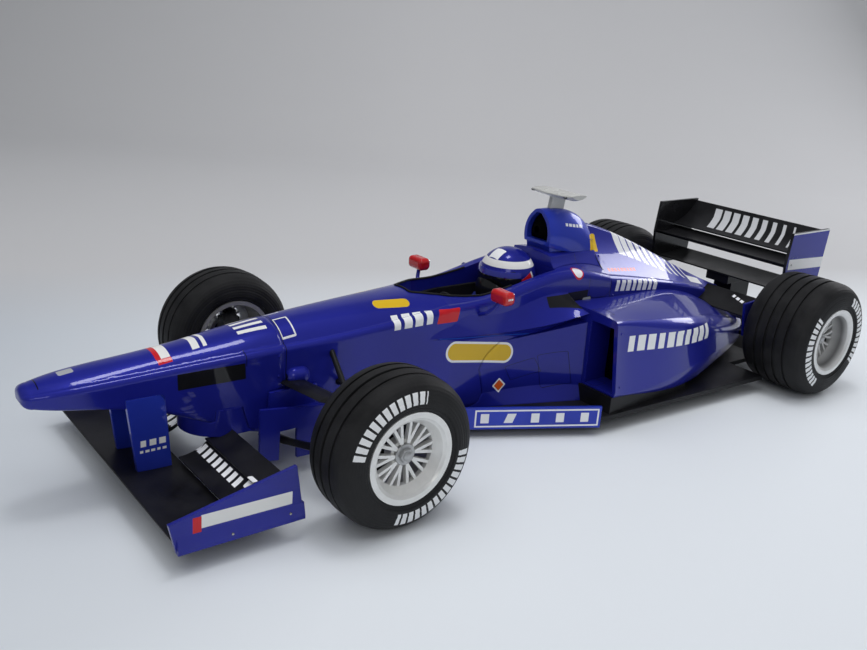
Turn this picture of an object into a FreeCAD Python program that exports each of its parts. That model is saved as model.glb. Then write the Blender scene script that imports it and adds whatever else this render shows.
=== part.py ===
"""Die-cast scale model (1:18) of a late-1990s open wheel racing car.

Frame: origin on the ground under the middle of the model's box, +X towards the nose,
+Y to the model's left, +Z up. Millimetres throughout.

Every piece is its own named node. The front group is placed from the front axle with
ahead(d), the rear group from the rear axle with behind(d), so either can be moved alone.
"""

import FreeCAD, Part
import math
import os
from FreeCAD import Vector

# ---------------------------------------------------------------- driving dimensions
FRONT_OVERHANG = 65.0        # front axle to nose tip
WHEELBASE = 161.0
REAR_OVERHANG = 28.0         # rear axle to the rear wing's trailing edge
FRONT_WIDTH = 99.7           # over the front tyres
REAR_WIDTH = 104.2           # over the rear tyres

FRONT_TYRE_RADIUS = 17.8
FRONT_TYRE_WIDTH = 16.0
FRONT_TYRE_SHOULDER = 3.2    # round shoulder's reach across the tread
REAR_TYRE_RADIUS = 18.4
REAR_TYRE_WIDTH = 22.7
REAR_TYRE_SHOULDER = 4.0
RIM_INSET = 0.4              # tyre's outer face to the rim lip
RIM_LIP_RADIUS = 10.6        # both axles have the same rim diameter
RIM_LIP_WIDTH = 0.8
RIM_SEAT_DEPTH = 0.7         # lip radius less the tyre's seat radius
RIM_WALL = 0.7
LIP_FACE = 1.3               # flat outer face of the lip
DISH_FALL = 3.3              # lip radius less the radius where the spokes meet the dish
FRONT_SPOKE_DEPTH = 2.7      # lip face down to the spokes' face
REAR_SPOKE_DEPTH = 5.0
SPOKE_COUNT = 10             # forked spokes in each wheel
SPOKE_WIDTH = 0.7
SPOKE_THICKNESS = 1.2
SPOKE_FORK = 8.5             # degrees from a spoke's root to each of its two tips
HUB_RADIUS = 3.1
HUB_LENGTH = 3.2             # behind the spokes' face
AXLE_RADIUS = 1.0
AXLE_END = 1.5               # spokes' face down to the closed end of the hub's bore
NUT_RADIUS = 1.7

GROUND_CLEARANCE = 4.0       # under the floor
FLOOR_THICKNESS = 1.4
FLOOR_HALF_WIDTH = 36.0      # at the front of the sidepods
FLOOR_SPREAD = 2.6           # how much wider the floor is by the rear tyres
PLANK_HALF_WIDTH = 8.0
PLANK_THICKNESS = 1.0

TUB_HALF_WIDTH = 14.0        # flat flanks that the sidepods stand against
PANEL_REACH = 9.0            # how far the lower flanks swell out, up to the sidepod's inlet
SIDEPOD_HALF_WIDTH = 36.0
COCKPIT_WALL = 1.0           # thickness of the black cockpit liner
COCKPIT_FLOOR = 10.4

WING_Z = 6.4                 # height of the front wing's main plane
FRONT_WING_HALF_SPAN = 38.9
REAR_WING_HALF_SPAN = 27.8
ENDPLATE_THICKNESS = 1.0
PYLON_HALF_SPACING = 7.0     # outer faces of the two pylons
PYLON_THICKNESS = 1.2

KINGPIN_HALF_SPACING = 38.4
KINGPIN_RADIUS = 0.9
KNUCKLE_HALF_HEIGHT = 6.2    # front axle to the joints above and below it
STEER_ARM_LENGTH = 6.0       # kingpin to track rod
TRACK_ROD_RADIUS = 0.6
RACK_Z = 20.0
UPRIGHT_JOINT = 4.8          # rear axle to the joints above and below it
ARM_THICKNESS = 1.5

HELMET_RADIUS = 8.2
HELMET_Z = 37.4

DISPLAY_SCREW_RADIUS = 1.25  # threaded holes for a display base
DISPLAY_SCREW_DEPTH = 5.0
DISPLAY_SCREW_SPACING = 80.0
BOSS_WALL = 1.2
BOSS_HEIGHT = 4.0

# named clearances
TURN_GAP = 0.05              # round a shaft that turns
MOVE_GAP = 0.3               # beside a piece that moves
SEAT_GAP = 0.2               # round a piece dropped into a pocket

# ---------------------------------------------------------------- derived places
LENGTH = FRONT_OVERHANG + WHEELBASE + REAR_OVERHANG
FRONT_AXLE_X = LENGTH / 2 - FRONT_OVERHANG
REAR_AXLE_X = FRONT_AXLE_X - WHEELBASE
FRONT_WHEEL_Y = (FRONT_WIDTH - FRONT_TYRE_WIDTH) / 2
REAR_WHEEL_Y = (REAR_WIDTH - REAR_TYRE_WIDTH) / 2
RIM_SEAT_RADIUS = RIM_LIP_RADIUS - RIM_SEAT_DEPTH
DISH_RADIUS = RIM_LIP_RADIUS - DISH_FALL
FLOOR_TOP = GROUND_CLEARANCE + FLOOR_THICKNESS
UPPER_JOINT_Z = FRONT_TYRE_RADIUS + KNUCKLE_HALF_HEIGHT
LOWER_JOINT_Z = FRONT_TYRE_RADIUS - KNUCKLE_HALF_HEIGHT
INNER_PLATE_Y = FRONT_WING_HALF_SPAN - ENDPLATE_THICKNESS
INNER_REAR_Y = REAR_WING_HALF_SPAN - ENDPLATE_THICKNESS
SPLITTER_Y = TUB_HALF_WIDTH + PANEL_REACH
REAR_TYRE_INNER_Y = REAR_WIDTH / 2 - REAR_TYRE_WIDTH


def ahead(distance):
    """x of a place measured forward from the front axle (negative is behind it)."""
    return FRONT_AXLE_X + distance


def behind(distance):
    """x of a place measured rearward from the rear axle (negative is ahead of it)."""
    return REAR_AXLE_X - distance


# seams and edges of the bodywork
NOSE_SEAM_X = ahead(8.6)
POD_FRONT_X = ahead(-79.0)
COVER_SEAM_X = ahead(-97.0)
TAIL_X = behind(9.0)
HELMET_X = ahead(-68.0)
RACK_X = ahead(-STEER_ARM_LENGTH)


# ---------------------------------------------------------------- helpers
def polygon(points):
    corners = [Vector(*p) for p in points]
    return Part.makePolygon(corners + corners[:1])


def prism(points, direction):
    return Part.Face(polygon(points)).extrude(Vector(*direction))


def side_plate(outline, y_low, y_high):
    """Plate parallel to the XZ plane from an outline of (x, z)."""
    return prism([(x, y_low, z) for x, z in outline], (0, y_high - y_low, 0))


def flat_plate(outline, z_low, z_high):
    """Plate parallel to the ground from an outline of (x, y)."""
    return prism([(x, y, z_low) for x, y in outline], (0, 0, z_high - z_low))


def box(x_low, x_high, y_low, y_high, z_low, z_high):
    return Part.makeBox(x_high - x_low, y_high - y_low, z_high - z_low, Vector(x_low, y_low, z_low))


def rod(start, end, radius):
    a, b = Vector(*start), Vector(*end)
    return Part.makeCylinder(radius, (b - a).Length, a, b - a)


def ring(profile, centre_x, centre_z):
    """Solid of revolution round the wheel's axle from a profile of (y, radius)."""
    face = Part.Face(polygon([(centre_x, y, centre_z + r) for y, r in profile]))
    return face.revolve(Vector(centre_x, 0, centre_z), Vector(0, 1, 0), 360)


def mirrored(shape):
    return shape.mirror(Vector(0, 0, 0), Vector(0, 1, 0))


def both_sides(shape):
    return Part.makeCompound([shape, mirrored(shape)])


def arc(a, middle, b):
    return Part.Arc(Vector(*a), Vector(*middle), Vector(*b)).toShape()


def line(a, b):
    return Part.LineSegment(Vector(*a), Vector(*b)).toShape()


def loft(wires, ruled=False):
    return Part.makeLoft(wires, True, ruled)


def largest(shape):
    """The biggest solid of a cut shape, without the slivers."""
    return max(shape.Solids, key=lambda piece: piece.Volume)


def bent_rod(points, radius):
    """Round bar through the points, with a ball at every bend and at its last end."""
    pieces = [rod(a, b, radius) for a, b in zip(points, points[1:])]
    pieces += [Part.makeSphere(radius, Vector(*p)) for p in points[1:]]
    return pieces[0].multiFuse(pieces[1:]).removeSplitter()


BEND = 1 - math.sqrt(0.5)    # share of a quarter round's size that its middle lies inside the corner


def body_section(x, half_top, half_low, z_low, z_edge, z_top, corner, chine):
    """Body section at x: crowned top, rounded upper corners, flat flanks and rounded chines."""
    top, low = half_top - corner, half_low - chine
    a, b = (x, -top, z_edge), (x, top, z_edge)
    c, d = (x, half_top, z_edge - corner), (x, half_low, z_low + chine)
    e, f = (x, low, z_low), (x, -low, z_low)
    g, h = (x, -half_low, z_low + chine), (x, -half_top, z_edge - corner)
    return Part.Wire([
        arc(a, (x, 0, z_top), b),
        arc(b, (x, half_top - corner * BEND, z_edge - corner * BEND), c),
        line(c, d),
        arc(d, (x, half_low - chine * BEND, z_low + chine * BEND), e),
        line(e, f),
        arc(f, (x, -half_low + chine * BEND, z_low + chine * BEND), g),
        line(g, h),
        arc(h, (x, -half_top + corner * BEND, z_edge - corner * BEND), a),
    ])


def wing_section(y, nose, tail, camber, thickness, blunt=0.25):
    """Aerofoil wire in the plane y, from its nose (x, z) to its tail (x, z).

    camber is the upper face's rise over the chord (negative is hollow, as a wing that
    pushes down is), and thickness is measured at the middle of the chord.
    """
    nx, nz = nose
    tx, tz = tail
    length = math.hypot(tx - nx, tz - nz)
    ux, uz = (tz - nz) / length, -(tx - nx) / length
    mx, mz = (nx + tx) / 2, (nz + tz) / 2
    above = (mx + ux * camber, y, mz + uz * camber)
    below = (mx + ux * (camber - thickness), y, mz + uz * (camber - thickness))
    nose_top, nose_low = (nx + ux * blunt, y, nz + uz * blunt), (nx - ux * blunt, y, nz - uz * blunt)
    tail_top, tail_low = (tx, y, tz), (tx - ux * blunt, y, tz - uz * blunt)
    round_x, round_z = nx - (tx - nx) / length * blunt, nz - (tz - nz) / length * blunt
    return Part.Wire([
        arc(nose_top, above, tail_top),
        line(tail_top, tail_low),
        arc(tail_low, below, nose_low),
        arc(nose_low, (round_x, y, round_z), nose_top),
    ])


def wing(stations):
    """Wing lofted through stations of (y, nose, tail, camber, thickness)."""
    return loft([wing_section(*s) for s in stations], ruled=True)


NODES = {}


def add(name, shape):
    NODES[name] = shape


# ---------------------------------------------------------------- nose and tub
#   columns: x, half width at the top, at the bottom, z low, z of top edge, z top, corner, chine
NOSE_SECTIONS = [
    (ahead(65.0), 3.6, 3.4, 24.9, 27.4, 28.3, 1.0, 0.9),
    (ahead(61.0), 5.2, 4.8, 24.0, 28.0, 29.3, 1.2, 1.2),
    (ahead(45.0), 6.9, 6.4, 21.3, 29.0, 31.2, 1.4, 1.4),
    (ahead(26.0), 8.4, 8.0, 14.4, 30.2, 33.2, 1.5, 1.5),
    (NOSE_SEAM_X, 9.4, 8.8, 9.6, 31.2, 35.4, 1.5, 1.5),
]
TUB_SECTIONS = [
    NOSE_SECTIONS[-1],
    (ahead(-14.0), 11.0, 11.0, 6.6, 32.6, 37.2, 1.6, 1.8),
    (ahead(-38.0), TUB_HALF_WIDTH - 1.2, TUB_HALF_WIDTH, FLOOR_TOP, 35.6, 38.3, 1.8, 2.0),
    (ahead(-52.0), TUB_HALF_WIDTH - 0.4, TUB_HALF_WIDTH, FLOOR_TOP, 36.2, 37.4, 2.0, 2.0),
    (ahead(-62.0), TUB_HALF_WIDTH, TUB_HALF_WIDTH, FLOOR_TOP, 38.2, 37.4, 2.2, 2.0),
    (ahead(-74.0), TUB_HALF_WIDTH, TUB_HALF_WIDTH, FLOOR_TOP, 40.4, 39.6, 2.4, 2.0),
    (ahead(-86.0), TUB_HALF_WIDTH, TUB_HALF_WIDTH, FLOOR_TOP, 40.0, 41.5, 2.4, 2.0),
    (COVER_SEAM_X, TUB_HALF_WIDTH, TUB_HALF_WIDTH, FLOOR_TOP, 37.6, 41.0, 2.4, 2.0),
]
#   cockpit opening in plan: x, half width
COCKPIT_OUTLINE = [(ahead(-31.0), 3.5), (ahead(-40.0), 8.2), (ahead(-50.0), 10.2), (ahead(-77.0), 10.2)]
COCKPIT_HALF = COCKPIT_OUTLINE[2][1]
LINER_TOP = 33.0


def cockpit_plan(inset):
    """Closed outline of the cockpit opening, moved inwards by inset."""
    (x_tip, half_tip), (x_front, half_front), (x_wide, half_wide), (x_rear, _) = COCKPIT_OUTLINE
    half = [(x_tip - inset, half_tip - inset), (x_front, half_front - inset),
            (x_wide, half_wide - inset), (x_rear + inset, half_wide - inset)]
    return half + [(x, -y) for x, y in reversed(half)]


def nose_cone():
    return loft([body_section(*s) for s in NOSE_SECTIONS])


def arm_blister():
    """Rounded swelling on the flank where the upper front arm goes in."""
    radius, y, z = 2.2, 9.3, 23.4
    rear, front = ahead(2.0), NOSE_SEAM_X - 0.4
    share = radius * math.sqrt(0.5)
    half = Part.Wire([
        arc((rear, y, z), (rear + radius - share, y, z + share), (rear + radius, y, z + radius)),
        line((rear + radius, y, z + radius), (front - radius, y, z + radius)),
        arc((front - radius, y, z + radius), (front - radius + share, y, z + share), (front, y, z)),
        line((front, y, z), (rear, y, z)),
    ])
    return Part.Face(half).revolve(Vector(0, y, z), Vector(1, 0, 0), 360)


def tub_body():
    """Outside of the tub, standing on the floor, before anything is cut out of it."""
    sections = [body_section(*s) for s in TUB_SECTIONS]
    body = loft(sections[:3]).fuse(loft(sections[2:]))
    under = box(COVER_SEAM_X, NOSE_SEAM_X, -SIDEPOD_HALF_WIDTH, SIDEPOD_HALF_WIDTH, 0, FLOOR_TOP)
    left = arm_blister()
    return body.cut(under).multiFuse([left, mirrored(left)])


#   rows of the swelling flanks: x, then (y past the tub's side, z) from the top or foot outwards
SHOULDER_ROWS = [
    (ahead(-28.0), (-2.8, 33.0), (-2.6, 27.2), (-2.8, 24.4)),
    (ahead(-47.0), (-0.9, 34.0), (0.2, 26.8), (-0.7, 23.6)),
    (ahead(-62.0), (-0.5, 35.2), (1.9, 26.6), (0.0, 23.4)),
    (ahead(-71.0), (-0.3, 35.4), (4.8, 28.0), (1.4, 24.4)),
    (POD_FRONT_X, (0.0, 34.6), (PANEL_REACH + 0.2, 31.0), (3.0, 26.4)),
]
SHOULDER_END = (COVER_SEAM_X, (-0.2, 31.6), (0.4, 30.8), (0.0, 30.4))
PANEL_ROWS = [
    (ahead(-36.0), [(-2.8, FLOOR_TOP), (-2.6, 9.0), (-2.6, 17.0), (-2.8, 23.0)]),
    (ahead(-54.0), [(1.8, FLOOR_TOP), (0.5, 9.4), (0.4, 16.6), (-0.2, 23.6)]),
    (ahead(-68.0), [(6.6, FLOOR_TOP), (3.4, 9.6), (3.0, 17.2), (2.2, 24.8)]),
    (POD_FRONT_X, [(PANEL_REACH + 1.4, FLOOR_TOP), (PANEL_REACH + 0.4, 9.6), (PANEL_REACH + 0.1, 18.0),
                   (PANEL_REACH, 28.4)]),
]
FLANK_ROOT = 3.4             # how far inside the tub's side the swellings begin


def shoulder_wire(x, top, edge, low):
    """Section of the upper swelling: hollow above its edge and rounded below it."""
    side, root = TUB_HALF_WIDTH, TUB_HALF_WIDTH - FLANK_ROOT
    (y_top, z_top), (y_edge, z_edge), (y_low, z_low) = [(side + y, z) for y, z in (top, edge, low)]
    above = ((y_top + y_edge) / 2, (z_top + z_edge) / 2 - 0.5)
    below = ((y_edge + y_low) / 2 - 0.3, (z_edge + z_low) / 2 + 0.3)
    return Part.Wire([
        arc((x, y_top, z_top), (x, above[0], above[1]), (x, y_edge, z_edge)),
        arc((x, y_edge, z_edge), (x, below[0], below[1]), (x, y_low, z_low)),
        line((x, y_low, z_low), (x, root, z_low)),
        line((x, root, z_low), (x, root, z_top)),
        line((x, root, z_top), (x, y_top, z_top)),
    ])


def tub_shoulder():
    """Upper flank that swells out over the sidepod inlet and fades along the pod's roof."""
    wires = [shoulder_wire(*row) for row in SHOULDER_ROWS]
    tail = loft([shoulder_wire(*SHOULDER_ROWS[-1]), shoulder_wire(*SHOULDER_END)], ruled=True)
    return loft(wires).fuse(tail.cut(pod_body()))


def tub():
    cockpit = flat_plate(cockpit_plan(0), COCKPIT_FLOOR, FRONT_TYRE_RADIUS * 3)
    rack_hole = rod((RACK_X, -TUB_HALF_WIDTH, RACK_Z), (RACK_X, TUB_HALF_WIDTH, RACK_Z),
                    TRACK_ROD_RADIUS + MOVE_GAP)
    left = tub_shoulder()
    whole = tub_body().multiFuse([left, mirrored(left)])
    return whole.cut(cockpit).cut(rack_hole).cut(boss_pockets())


def cockpit_liner():
    """Black tub that lines the cockpit below its rim."""
    outer = flat_plate(cockpit_plan(SEAT_GAP), COCKPIT_FLOOR, LINER_TOP)
    inner = flat_plate(cockpit_plan(SEAT_GAP + COCKPIT_WALL), COCKPIT_FLOOR + COCKPIT_WALL, LINER_TOP)
    return outer.cut(inner)


def nose_keel():
    """Round-fronted chin under the nose, with the block that carries the lower front arms."""
    half, front = 9.0, ahead(30.5)
    low, high = 11.4, 18.0
    slab = box(NOSE_SEAM_X, front - half, -half, half, low, high)
    slab = slab.fuse(Part.makeCylinder(half, high - low, Vector(front - half, 0, low)))
    block = box(NOSE_SEAM_X, ahead(18.0), -6.5, 6.5, 7.0, low + 1.0)
    return largest(slab.fuse(block).cut(nose_cone()))


# ---------------------------------------------------------------- front wing
def front_wing_plane():
    nose, tail = (ahead(47.5), WING_Z + 0.4), (ahead(33.0), WING_Z)
    return wing([(y, nose, tail, -0.2, 1.6) for y in (-INNER_PLATE_Y, INNER_PLATE_Y)])


def front_wing_flaps():
    """Two slotted flaps on each side, from beside the pylon out to the endplate."""
    #   columns: nose (x, z), tail (x, z) of each flap
    flaps = [((ahead(33.6), WING_Z + 1.4), (ahead(27.0), WING_Z + 4.0)),
             ((ahead(27.2), WING_Z + 4.6), (ahead(21.6), WING_Z + 6.5))]
    pieces = []
    for nose, tail in flaps:
        flap = wing([(y, nose, tail, -0.5, 1.0) for y in (PYLON_HALF_SPACING, INNER_PLATE_Y)])
        flap = largest(flap.cut(nose_keel()).cut(nose_cone()))
        pieces += [flap, mirrored(flap)]
    return Part.makeCompound(pieces)


def front_endplate():
    """Plate at the tip of the front wing, flared outwards along its foot."""
    front, rear = ahead(47.4), ahead(19.6)
    foot, knee = WING_Z - 1.8, WING_Z + 1.8
    outline = [(ahead(48.9), 11.3), (ahead(21.4), 17.0), (rear, foot), (front, foot)]
    plate = side_plate(outline, INNER_PLATE_Y, FRONT_WING_HALF_SPAN)
    flared = FRONT_WING_HALF_SPAN + 0.7
    flare = [(INNER_PLATE_Y, foot), (flared, foot), (flared, foot + 0.8), (FRONT_WING_HALF_SPAN, knee),
             (INNER_PLATE_Y, knee)]
    edge = prism([(rear, y, z) for y, z in flare], (front - rear, 0, 0))
    return plate.fuse(edge).removeSplitter()


def wing_pylons():
    low, high = WING_Z - 0.6, 24.0
    outline = [(ahead(45.2), high), (ahead(36.6), high), (ahead(35.3), low), (ahead(43.1), low)]
    plate = side_plate(outline, PYLON_HALF_SPACING - PYLON_THICKNESS, PYLON_HALF_SPACING)
    return both_sides(largest(plate.cut(nose_cone()).cut(front_wing_plane())))


# ---------------------------------------------------------------- front suspension and steering
#   columns: x of mid chord, y, z, chord
UPPER_ARM_STATIONS = [
    (ahead(7.0), 6.0, 22.0, 6.0),
    (ahead(5.4), 25.0, 23.2, 5.8),
    (ahead(2.4), 31.5, 23.6, 4.6),
    (ahead(0.6), KINGPIN_HALF_SPACING - 1.5, UPPER_JOINT_Z, 4.2),
]
LOWER_ARM_STATIONS = [
    (ahead(11.4), 5.5, 8.2, 4.0),
    (ahead(9.6), 13.4, 8.9, 3.6),
    (ahead(2.6), 31.5, 11.0, 4.2),
    (ahead(0.6), KINGPIN_HALF_SPACING - 1.5, LOWER_JOINT_Z, 4.2),
]


def arm_section(x, y, z, chord):
    front, rear = (x + chord / 2, y, z), (x - chord / 2, y, z)
    return Part.Wire([arc(front, (x, y, z + ARM_THICKNESS / 2), rear),
                      arc(rear, (x, y, z - ARM_THICKNESS / 2), front)])


def front_arm(stations):
    """Pair of streamlined arms that end in an eye round the kingpin."""
    eye, z_tip = KINGPIN_RADIUS + 1.0, stations[-1][2]
    bar = loft([arm_section(*s) for s in stations], ruled=True)
    low = z_tip - ARM_THICKNESS / 2
    lug = Part.makeCylinder(eye, ARM_THICKNESS, Vector(FRONT_AXLE_X, KINGPIN_HALF_SPACING, low))
    hole = Part.makeCylinder(KINGPIN_RADIUS + TURN_GAP, 3 * ARM_THICKNESS,
                             Vector(FRONT_AXLE_X, KINGPIN_HALF_SPACING, low - ARM_THICKNESS))
    return both_sides(largest(bar.fuse(lug).cut(hole).cut(tub_body()).cut(nose_cone()).cut(nose_keel())))


def front_pushrods():
    bar = rod((ahead(-4.2), 8.0, 29.4), (ahead(0.2), KINGPIN_HALF_SPACING - 4.0, LOWER_JOINT_Z), 0.7)
    return both_sides(largest(bar.cut(tub_body()).cut(front_arm(LOWER_ARM_STATIONS))))


def knuckle():
    """Upright with its kingpin, steering arm and stub axle, on the left side."""
    x, y, z = FRONT_AXLE_X, KINGPIN_HALF_SPACING, FRONT_TYRE_RADIUS
    reach = ARM_THICKNESS / 2 + MOVE_GAP
    block = box(x - 2.4, x + 2.4, y - 1.6, y + 2.2, LOWER_JOINT_Z + reach, UPPER_JOINT_Z - reach)
    pin = Part.makeCylinder(KINGPIN_RADIUS, 2 * KNUCKLE_HALF_HEIGHT + 2 * ARM_THICKNESS,
                            Vector(x, y, LOWER_JOINT_Z - ARM_THICKNESS))
    face = spoke_face(FRONT_WHEEL_Y, FRONT_TYRE_WIDTH, FRONT_SPOKE_DEPTH)
    axle = rod((x, y, z), (x, face - AXLE_END - MOVE_GAP, z), AXLE_RADIUS)
    collar = rod((x, y, z), (x, face - HUB_LENGTH - MOVE_GAP, z), 2.2)
    top = RACK_Z - TRACK_ROD_RADIUS - MOVE_GAP
    steer = box(RACK_X - 1.2, x, y - 1.0, y + 1.0, top - 1.2, top)
    return block.fuse([pin, axle, collar, steer]).removeSplitter()


def track_rod():
    half = KINGPIN_HALF_SPACING + 0.6
    return rod((RACK_X, -half, RACK_Z), (RACK_X, half, RACK_Z), TRACK_ROD_RADIUS)


# ---------------------------------------------------------------- wheels
def spoke_face(wheel_y, tyre_width, spoke_depth):
    """y of the spokes' outer face on the left side."""
    return wheel_y + tyre_width / 2 - RIM_INSET - spoke_depth


def tyre(centre_x, wheel_y, radius, width, shoulder):
    """Tyre with upright sidewalls, round shoulders and a slightly crowned tread."""
    low, high = wheel_y - width / 2, wheel_y + width / 2
    lip, bead = RIM_INSET + RIM_LIP_WIDTH + 0.1, RIM_LIP_RADIUS + 0.1

    def point(y, r):
        return (centre_x, y, radius + r)

    wall, edge = radius - 4.2, radius - 0.25
    half = [(lip, RIM_SEAT_RADIUS), (lip, bead), (0.5, bead), (0.0, wall)]
    bend_in, bend_r = 0.24 * shoulder, radius - 0.49 * shoulder
    edges = []
    for side, sign in ((low, 1), (high, -1)):
        points = [point(side + sign * inset, r) for inset, r in half]
        edges += [line(a, b) for a, b in zip(points, points[1:])]
        bend = point(side + sign * bend_in, bend_r)
        edges.append(arc(points[-1], bend, point(side + sign * shoulder, edge)))
    edges.append(arc(point(low + shoulder, edge), point(wheel_y, radius), point(high - shoulder, edge)))
    edges.append(line(point(low + lip, RIM_SEAT_RADIUS), point(high - lip, RIM_SEAT_RADIUS)))
    face = Part.Face(Part.Wire(Part.__sortEdges__(edges)))
    return face.revolve(Vector(centre_x, 0, radius), Vector(0, 1, 0), 360)


def rim(centre_x, wheel_y, radius, width, spoke_depth):
    """Forked-spoke wheel: stepped barrel and dish, spokes, hub and centre nut."""
    outer = wheel_y + width / 2 - RIM_INSET
    inner = wheel_y - width / 2 + RIM_INSET
    face = spoke_face(wheel_y, width, spoke_depth)
    back = face - SPOKE_THICKNESS
    seat, bore = RIM_SEAT_RADIUS, RIM_SEAT_RADIUS - RIM_WALL
    edge = RIM_LIP_RADIUS - LIP_FACE
    barrel = ring([
        (inner, bore + 0.3), (inner, RIM_LIP_RADIUS), (inner + RIM_LIP_WIDTH, RIM_LIP_RADIUS),
        (inner + RIM_LIP_WIDTH, seat), (outer - RIM_LIP_WIDTH, seat),
        (outer - RIM_LIP_WIDTH, RIM_LIP_RADIUS), (outer, RIM_LIP_RADIUS),
        (outer, edge), (outer - 0.4, edge - 0.4), (outer - 0.6, edge - 0.7),
        (face, DISH_RADIUS), (back, DISH_RADIUS), (back - 1.0, bore),
    ], centre_x, radius)
    bore_radius, bore_end = AXLE_RADIUS + TURN_GAP, face - AXLE_END
    hub = ring([
        (face - HUB_LENGTH, bore_radius), (face - HUB_LENGTH, HUB_RADIUS), (face - 0.9, HUB_RADIUS),
        (face - 0.6, HUB_RADIUS - 0.5), (face - 0.6, NUT_RADIUS), (face - 0.3, NUT_RADIUS * 0.9),
        (face - 0.1, NUT_RADIUS * 0.5), (face - 0.1, 0), (bore_end, 0), (bore_end, bore_radius),
    ], centre_x, radius)
    pieces = [hub]
    base = Vector(centre_x, back, radius)
    for index in range(SPOKE_COUNT):
        root_angle = math.radians(360 / SPOKE_COUNT * index)
        root = Vector(math.cos(root_angle), 0, math.sin(root_angle)) * (HUB_RADIUS * 0.8)
        for fork in (-SPOKE_FORK, SPOKE_FORK):
            tip_angle = root_angle + math.radians(fork)
            tip = Vector(math.cos(tip_angle), 0, math.sin(tip_angle)) * (DISH_RADIUS + 0.4)
            along = (tip - root).normalize()
            across = Vector(-along.z, 0, along.x) * (SPOKE_WIDTH / 2)
            corners = [base + root + across, base + tip + across,
                       base + tip - across, base + root - across]
            bar = Part.Face(Part.makePolygon(corners + corners[:1]))
            pieces.append(bar.extrude(Vector(0, SPOKE_THICKNESS, 0)))
    return barrel.multiFuse(pieces).removeSplitter()


# ---------------------------------------------------------------- cockpit and driver
CHIN = Vector(HELMET_X + 3.2, 0, HELMET_Z - 3.6)
CHIN_RADIUS = 6.4
NECK_Z = HELMET_Z - HELMET_RADIUS + 1.2
VISOR_THICKNESS = 0.4
WHEEL_CENTRE = Vector(ahead(-48.0), 0, 30.5)


def helmet():
    """Full-face helmet: a round shell with a chin bar."""
    shell = Part.makeSphere(HELMET_RADIUS, Vector(HELMET_X, 0, HELMET_Z))
    neck = box(HELMET_X - 20, HELMET_X + 20, -20, 20, NECK_Z - 20, NECK_Z)
    return shell.fuse(Part.makeSphere(CHIN_RADIUS, CHIN)).cut(neck)


def visor():
    """Thin dark shell over the helmet's eye port."""
    centre = Vector(HELMET_X, 0, HELMET_Z)
    shell = Part.makeSphere(HELMET_RADIUS + VISOR_THICKNESS, centre)
    band = box(HELMET_X + 2.0, HELMET_X + 20, -20, 20, HELMET_Z - 1.6, HELMET_Z + 2.8)
    return largest(shell.common(band).cut(helmet()))


def driver_torso():
    """Shoulders, chest and arms of the seated figure, leaning back."""
    half = COCKPIT_HALF - SEAT_GAP - COCKPIT_WALL - 0.3
    low = COCKPIT_FLOOR + COCKPIT_WALL
    outline = [(HELMET_X - 6.5, NECK_Z), (HELMET_X + 4.5, NECK_Z), (HELMET_X + 7.5, NECK_Z - 4.0),
               (HELMET_X + 10.0, low + 5), (HELMET_X + 18.0, low + 3.0), (HELMET_X + 18.0, low),
               (HELMET_X - 6.5, low)]
    chest = side_plate(outline, -half, half)
    arms = []
    for side in (-1, 1):
        arms.append(bent_rod([(HELMET_X + 5.0, side * (half - 1.7), NECK_Z - 3.4),
                              (HELMET_X + 13.0, side * (half - 1.2), NECK_Z - 6.9),
                              (WHEEL_CENTRE.x - 0.6, side * 5.2, WHEEL_CENTRE.z - 1.0)], 1.1))
    return chest.multiFuse(arms).cut(helmet()).cut(steering_wheel())


def steering_wheel():
    rim_ring = Part.makeTorus(4.2, 0.55, WHEEL_CENTRE, Vector(-0.9, 0, 0.45))
    bar = Part.makeBox(0.8, 8.2, 1.6, Vector(-0.4, -4.1, -0.8))
    bar.rotate(Vector(0, 0, 0), Vector(0, 1, 0), 26.6)
    bar.translate(WHEEL_CENTRE)
    column = rod(tuple(WHEEL_CENTRE), (ahead(-30.0), 0, 21.5), 0.7).cut(cockpit_liner())
    return rim_ring.fuse([bar, largest(column)])


# ---------------------------------------------------------------- top body
#   columns: x, z of foot, z of shoulder, then (y, z) of the shoulder's top, the hollow
#   flank and the ridge's edge, and z of the ridge
COVER_SECTIONS = [
    (COVER_SEAM_X, FLOOR_TOP, 35.2, (TUB_HALF_WIDTH - 2.4, 37.4), (6.2, 42.2), (1.6, 50.0), 50.6),
    (behind(-41.0), FLOOR_TOP, 31.6, (9.2, 33.0), (5.0, 36.8), (1.2, 42.2), 42.7),
    (behind(-18.0), FLOOR_TOP, 26.6, (6.8, 27.8), (3.8, 29.6), (1.0, 32.3), 32.8),
    (TAIL_X, 14.0, 17.6, (4.0, 19.6), (2.4, 20.9), (0.8, 21.8), 22.2),
]
TAIL_HALF = 5.4


def pod_split(x):
    """Half width of the core that the sidepods stand against, narrowing to the tail."""
    share = (COVER_SEAM_X - x) / (COVER_SEAM_X - TAIL_X)
    return TUB_HALF_WIDTH + (TAIL_HALF - TUB_HALF_WIDTH) * max(0.0, share)


def cover_section(x, z_foot, z_shoulder, top, hollow, ridge, z_top):
    half = pod_split(x)
    rise = top[1] - z_shoulder
    bend = (half - (half - top[0]) * BEND, z_shoulder + rise * (1 - BEND))
    outline = [(half, z_foot), (half, z_shoulder), bend, top, hollow, ridge]
    a, b, via, c, mid, d = [(x, y, z) for y, z in outline]
    a2, b2, via2, c2, mid2, d2 = [(x, -y, z) for y, z in outline]
    return Part.Wire([
        line(a, b), arc(b, via, c), arc(c, mid, d), arc(d, (x, 0, z_top), d2),
        arc(d2, mid2, c2), arc(c2, via2, b2), line(b2, a2), line(a2, a),
    ])


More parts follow.
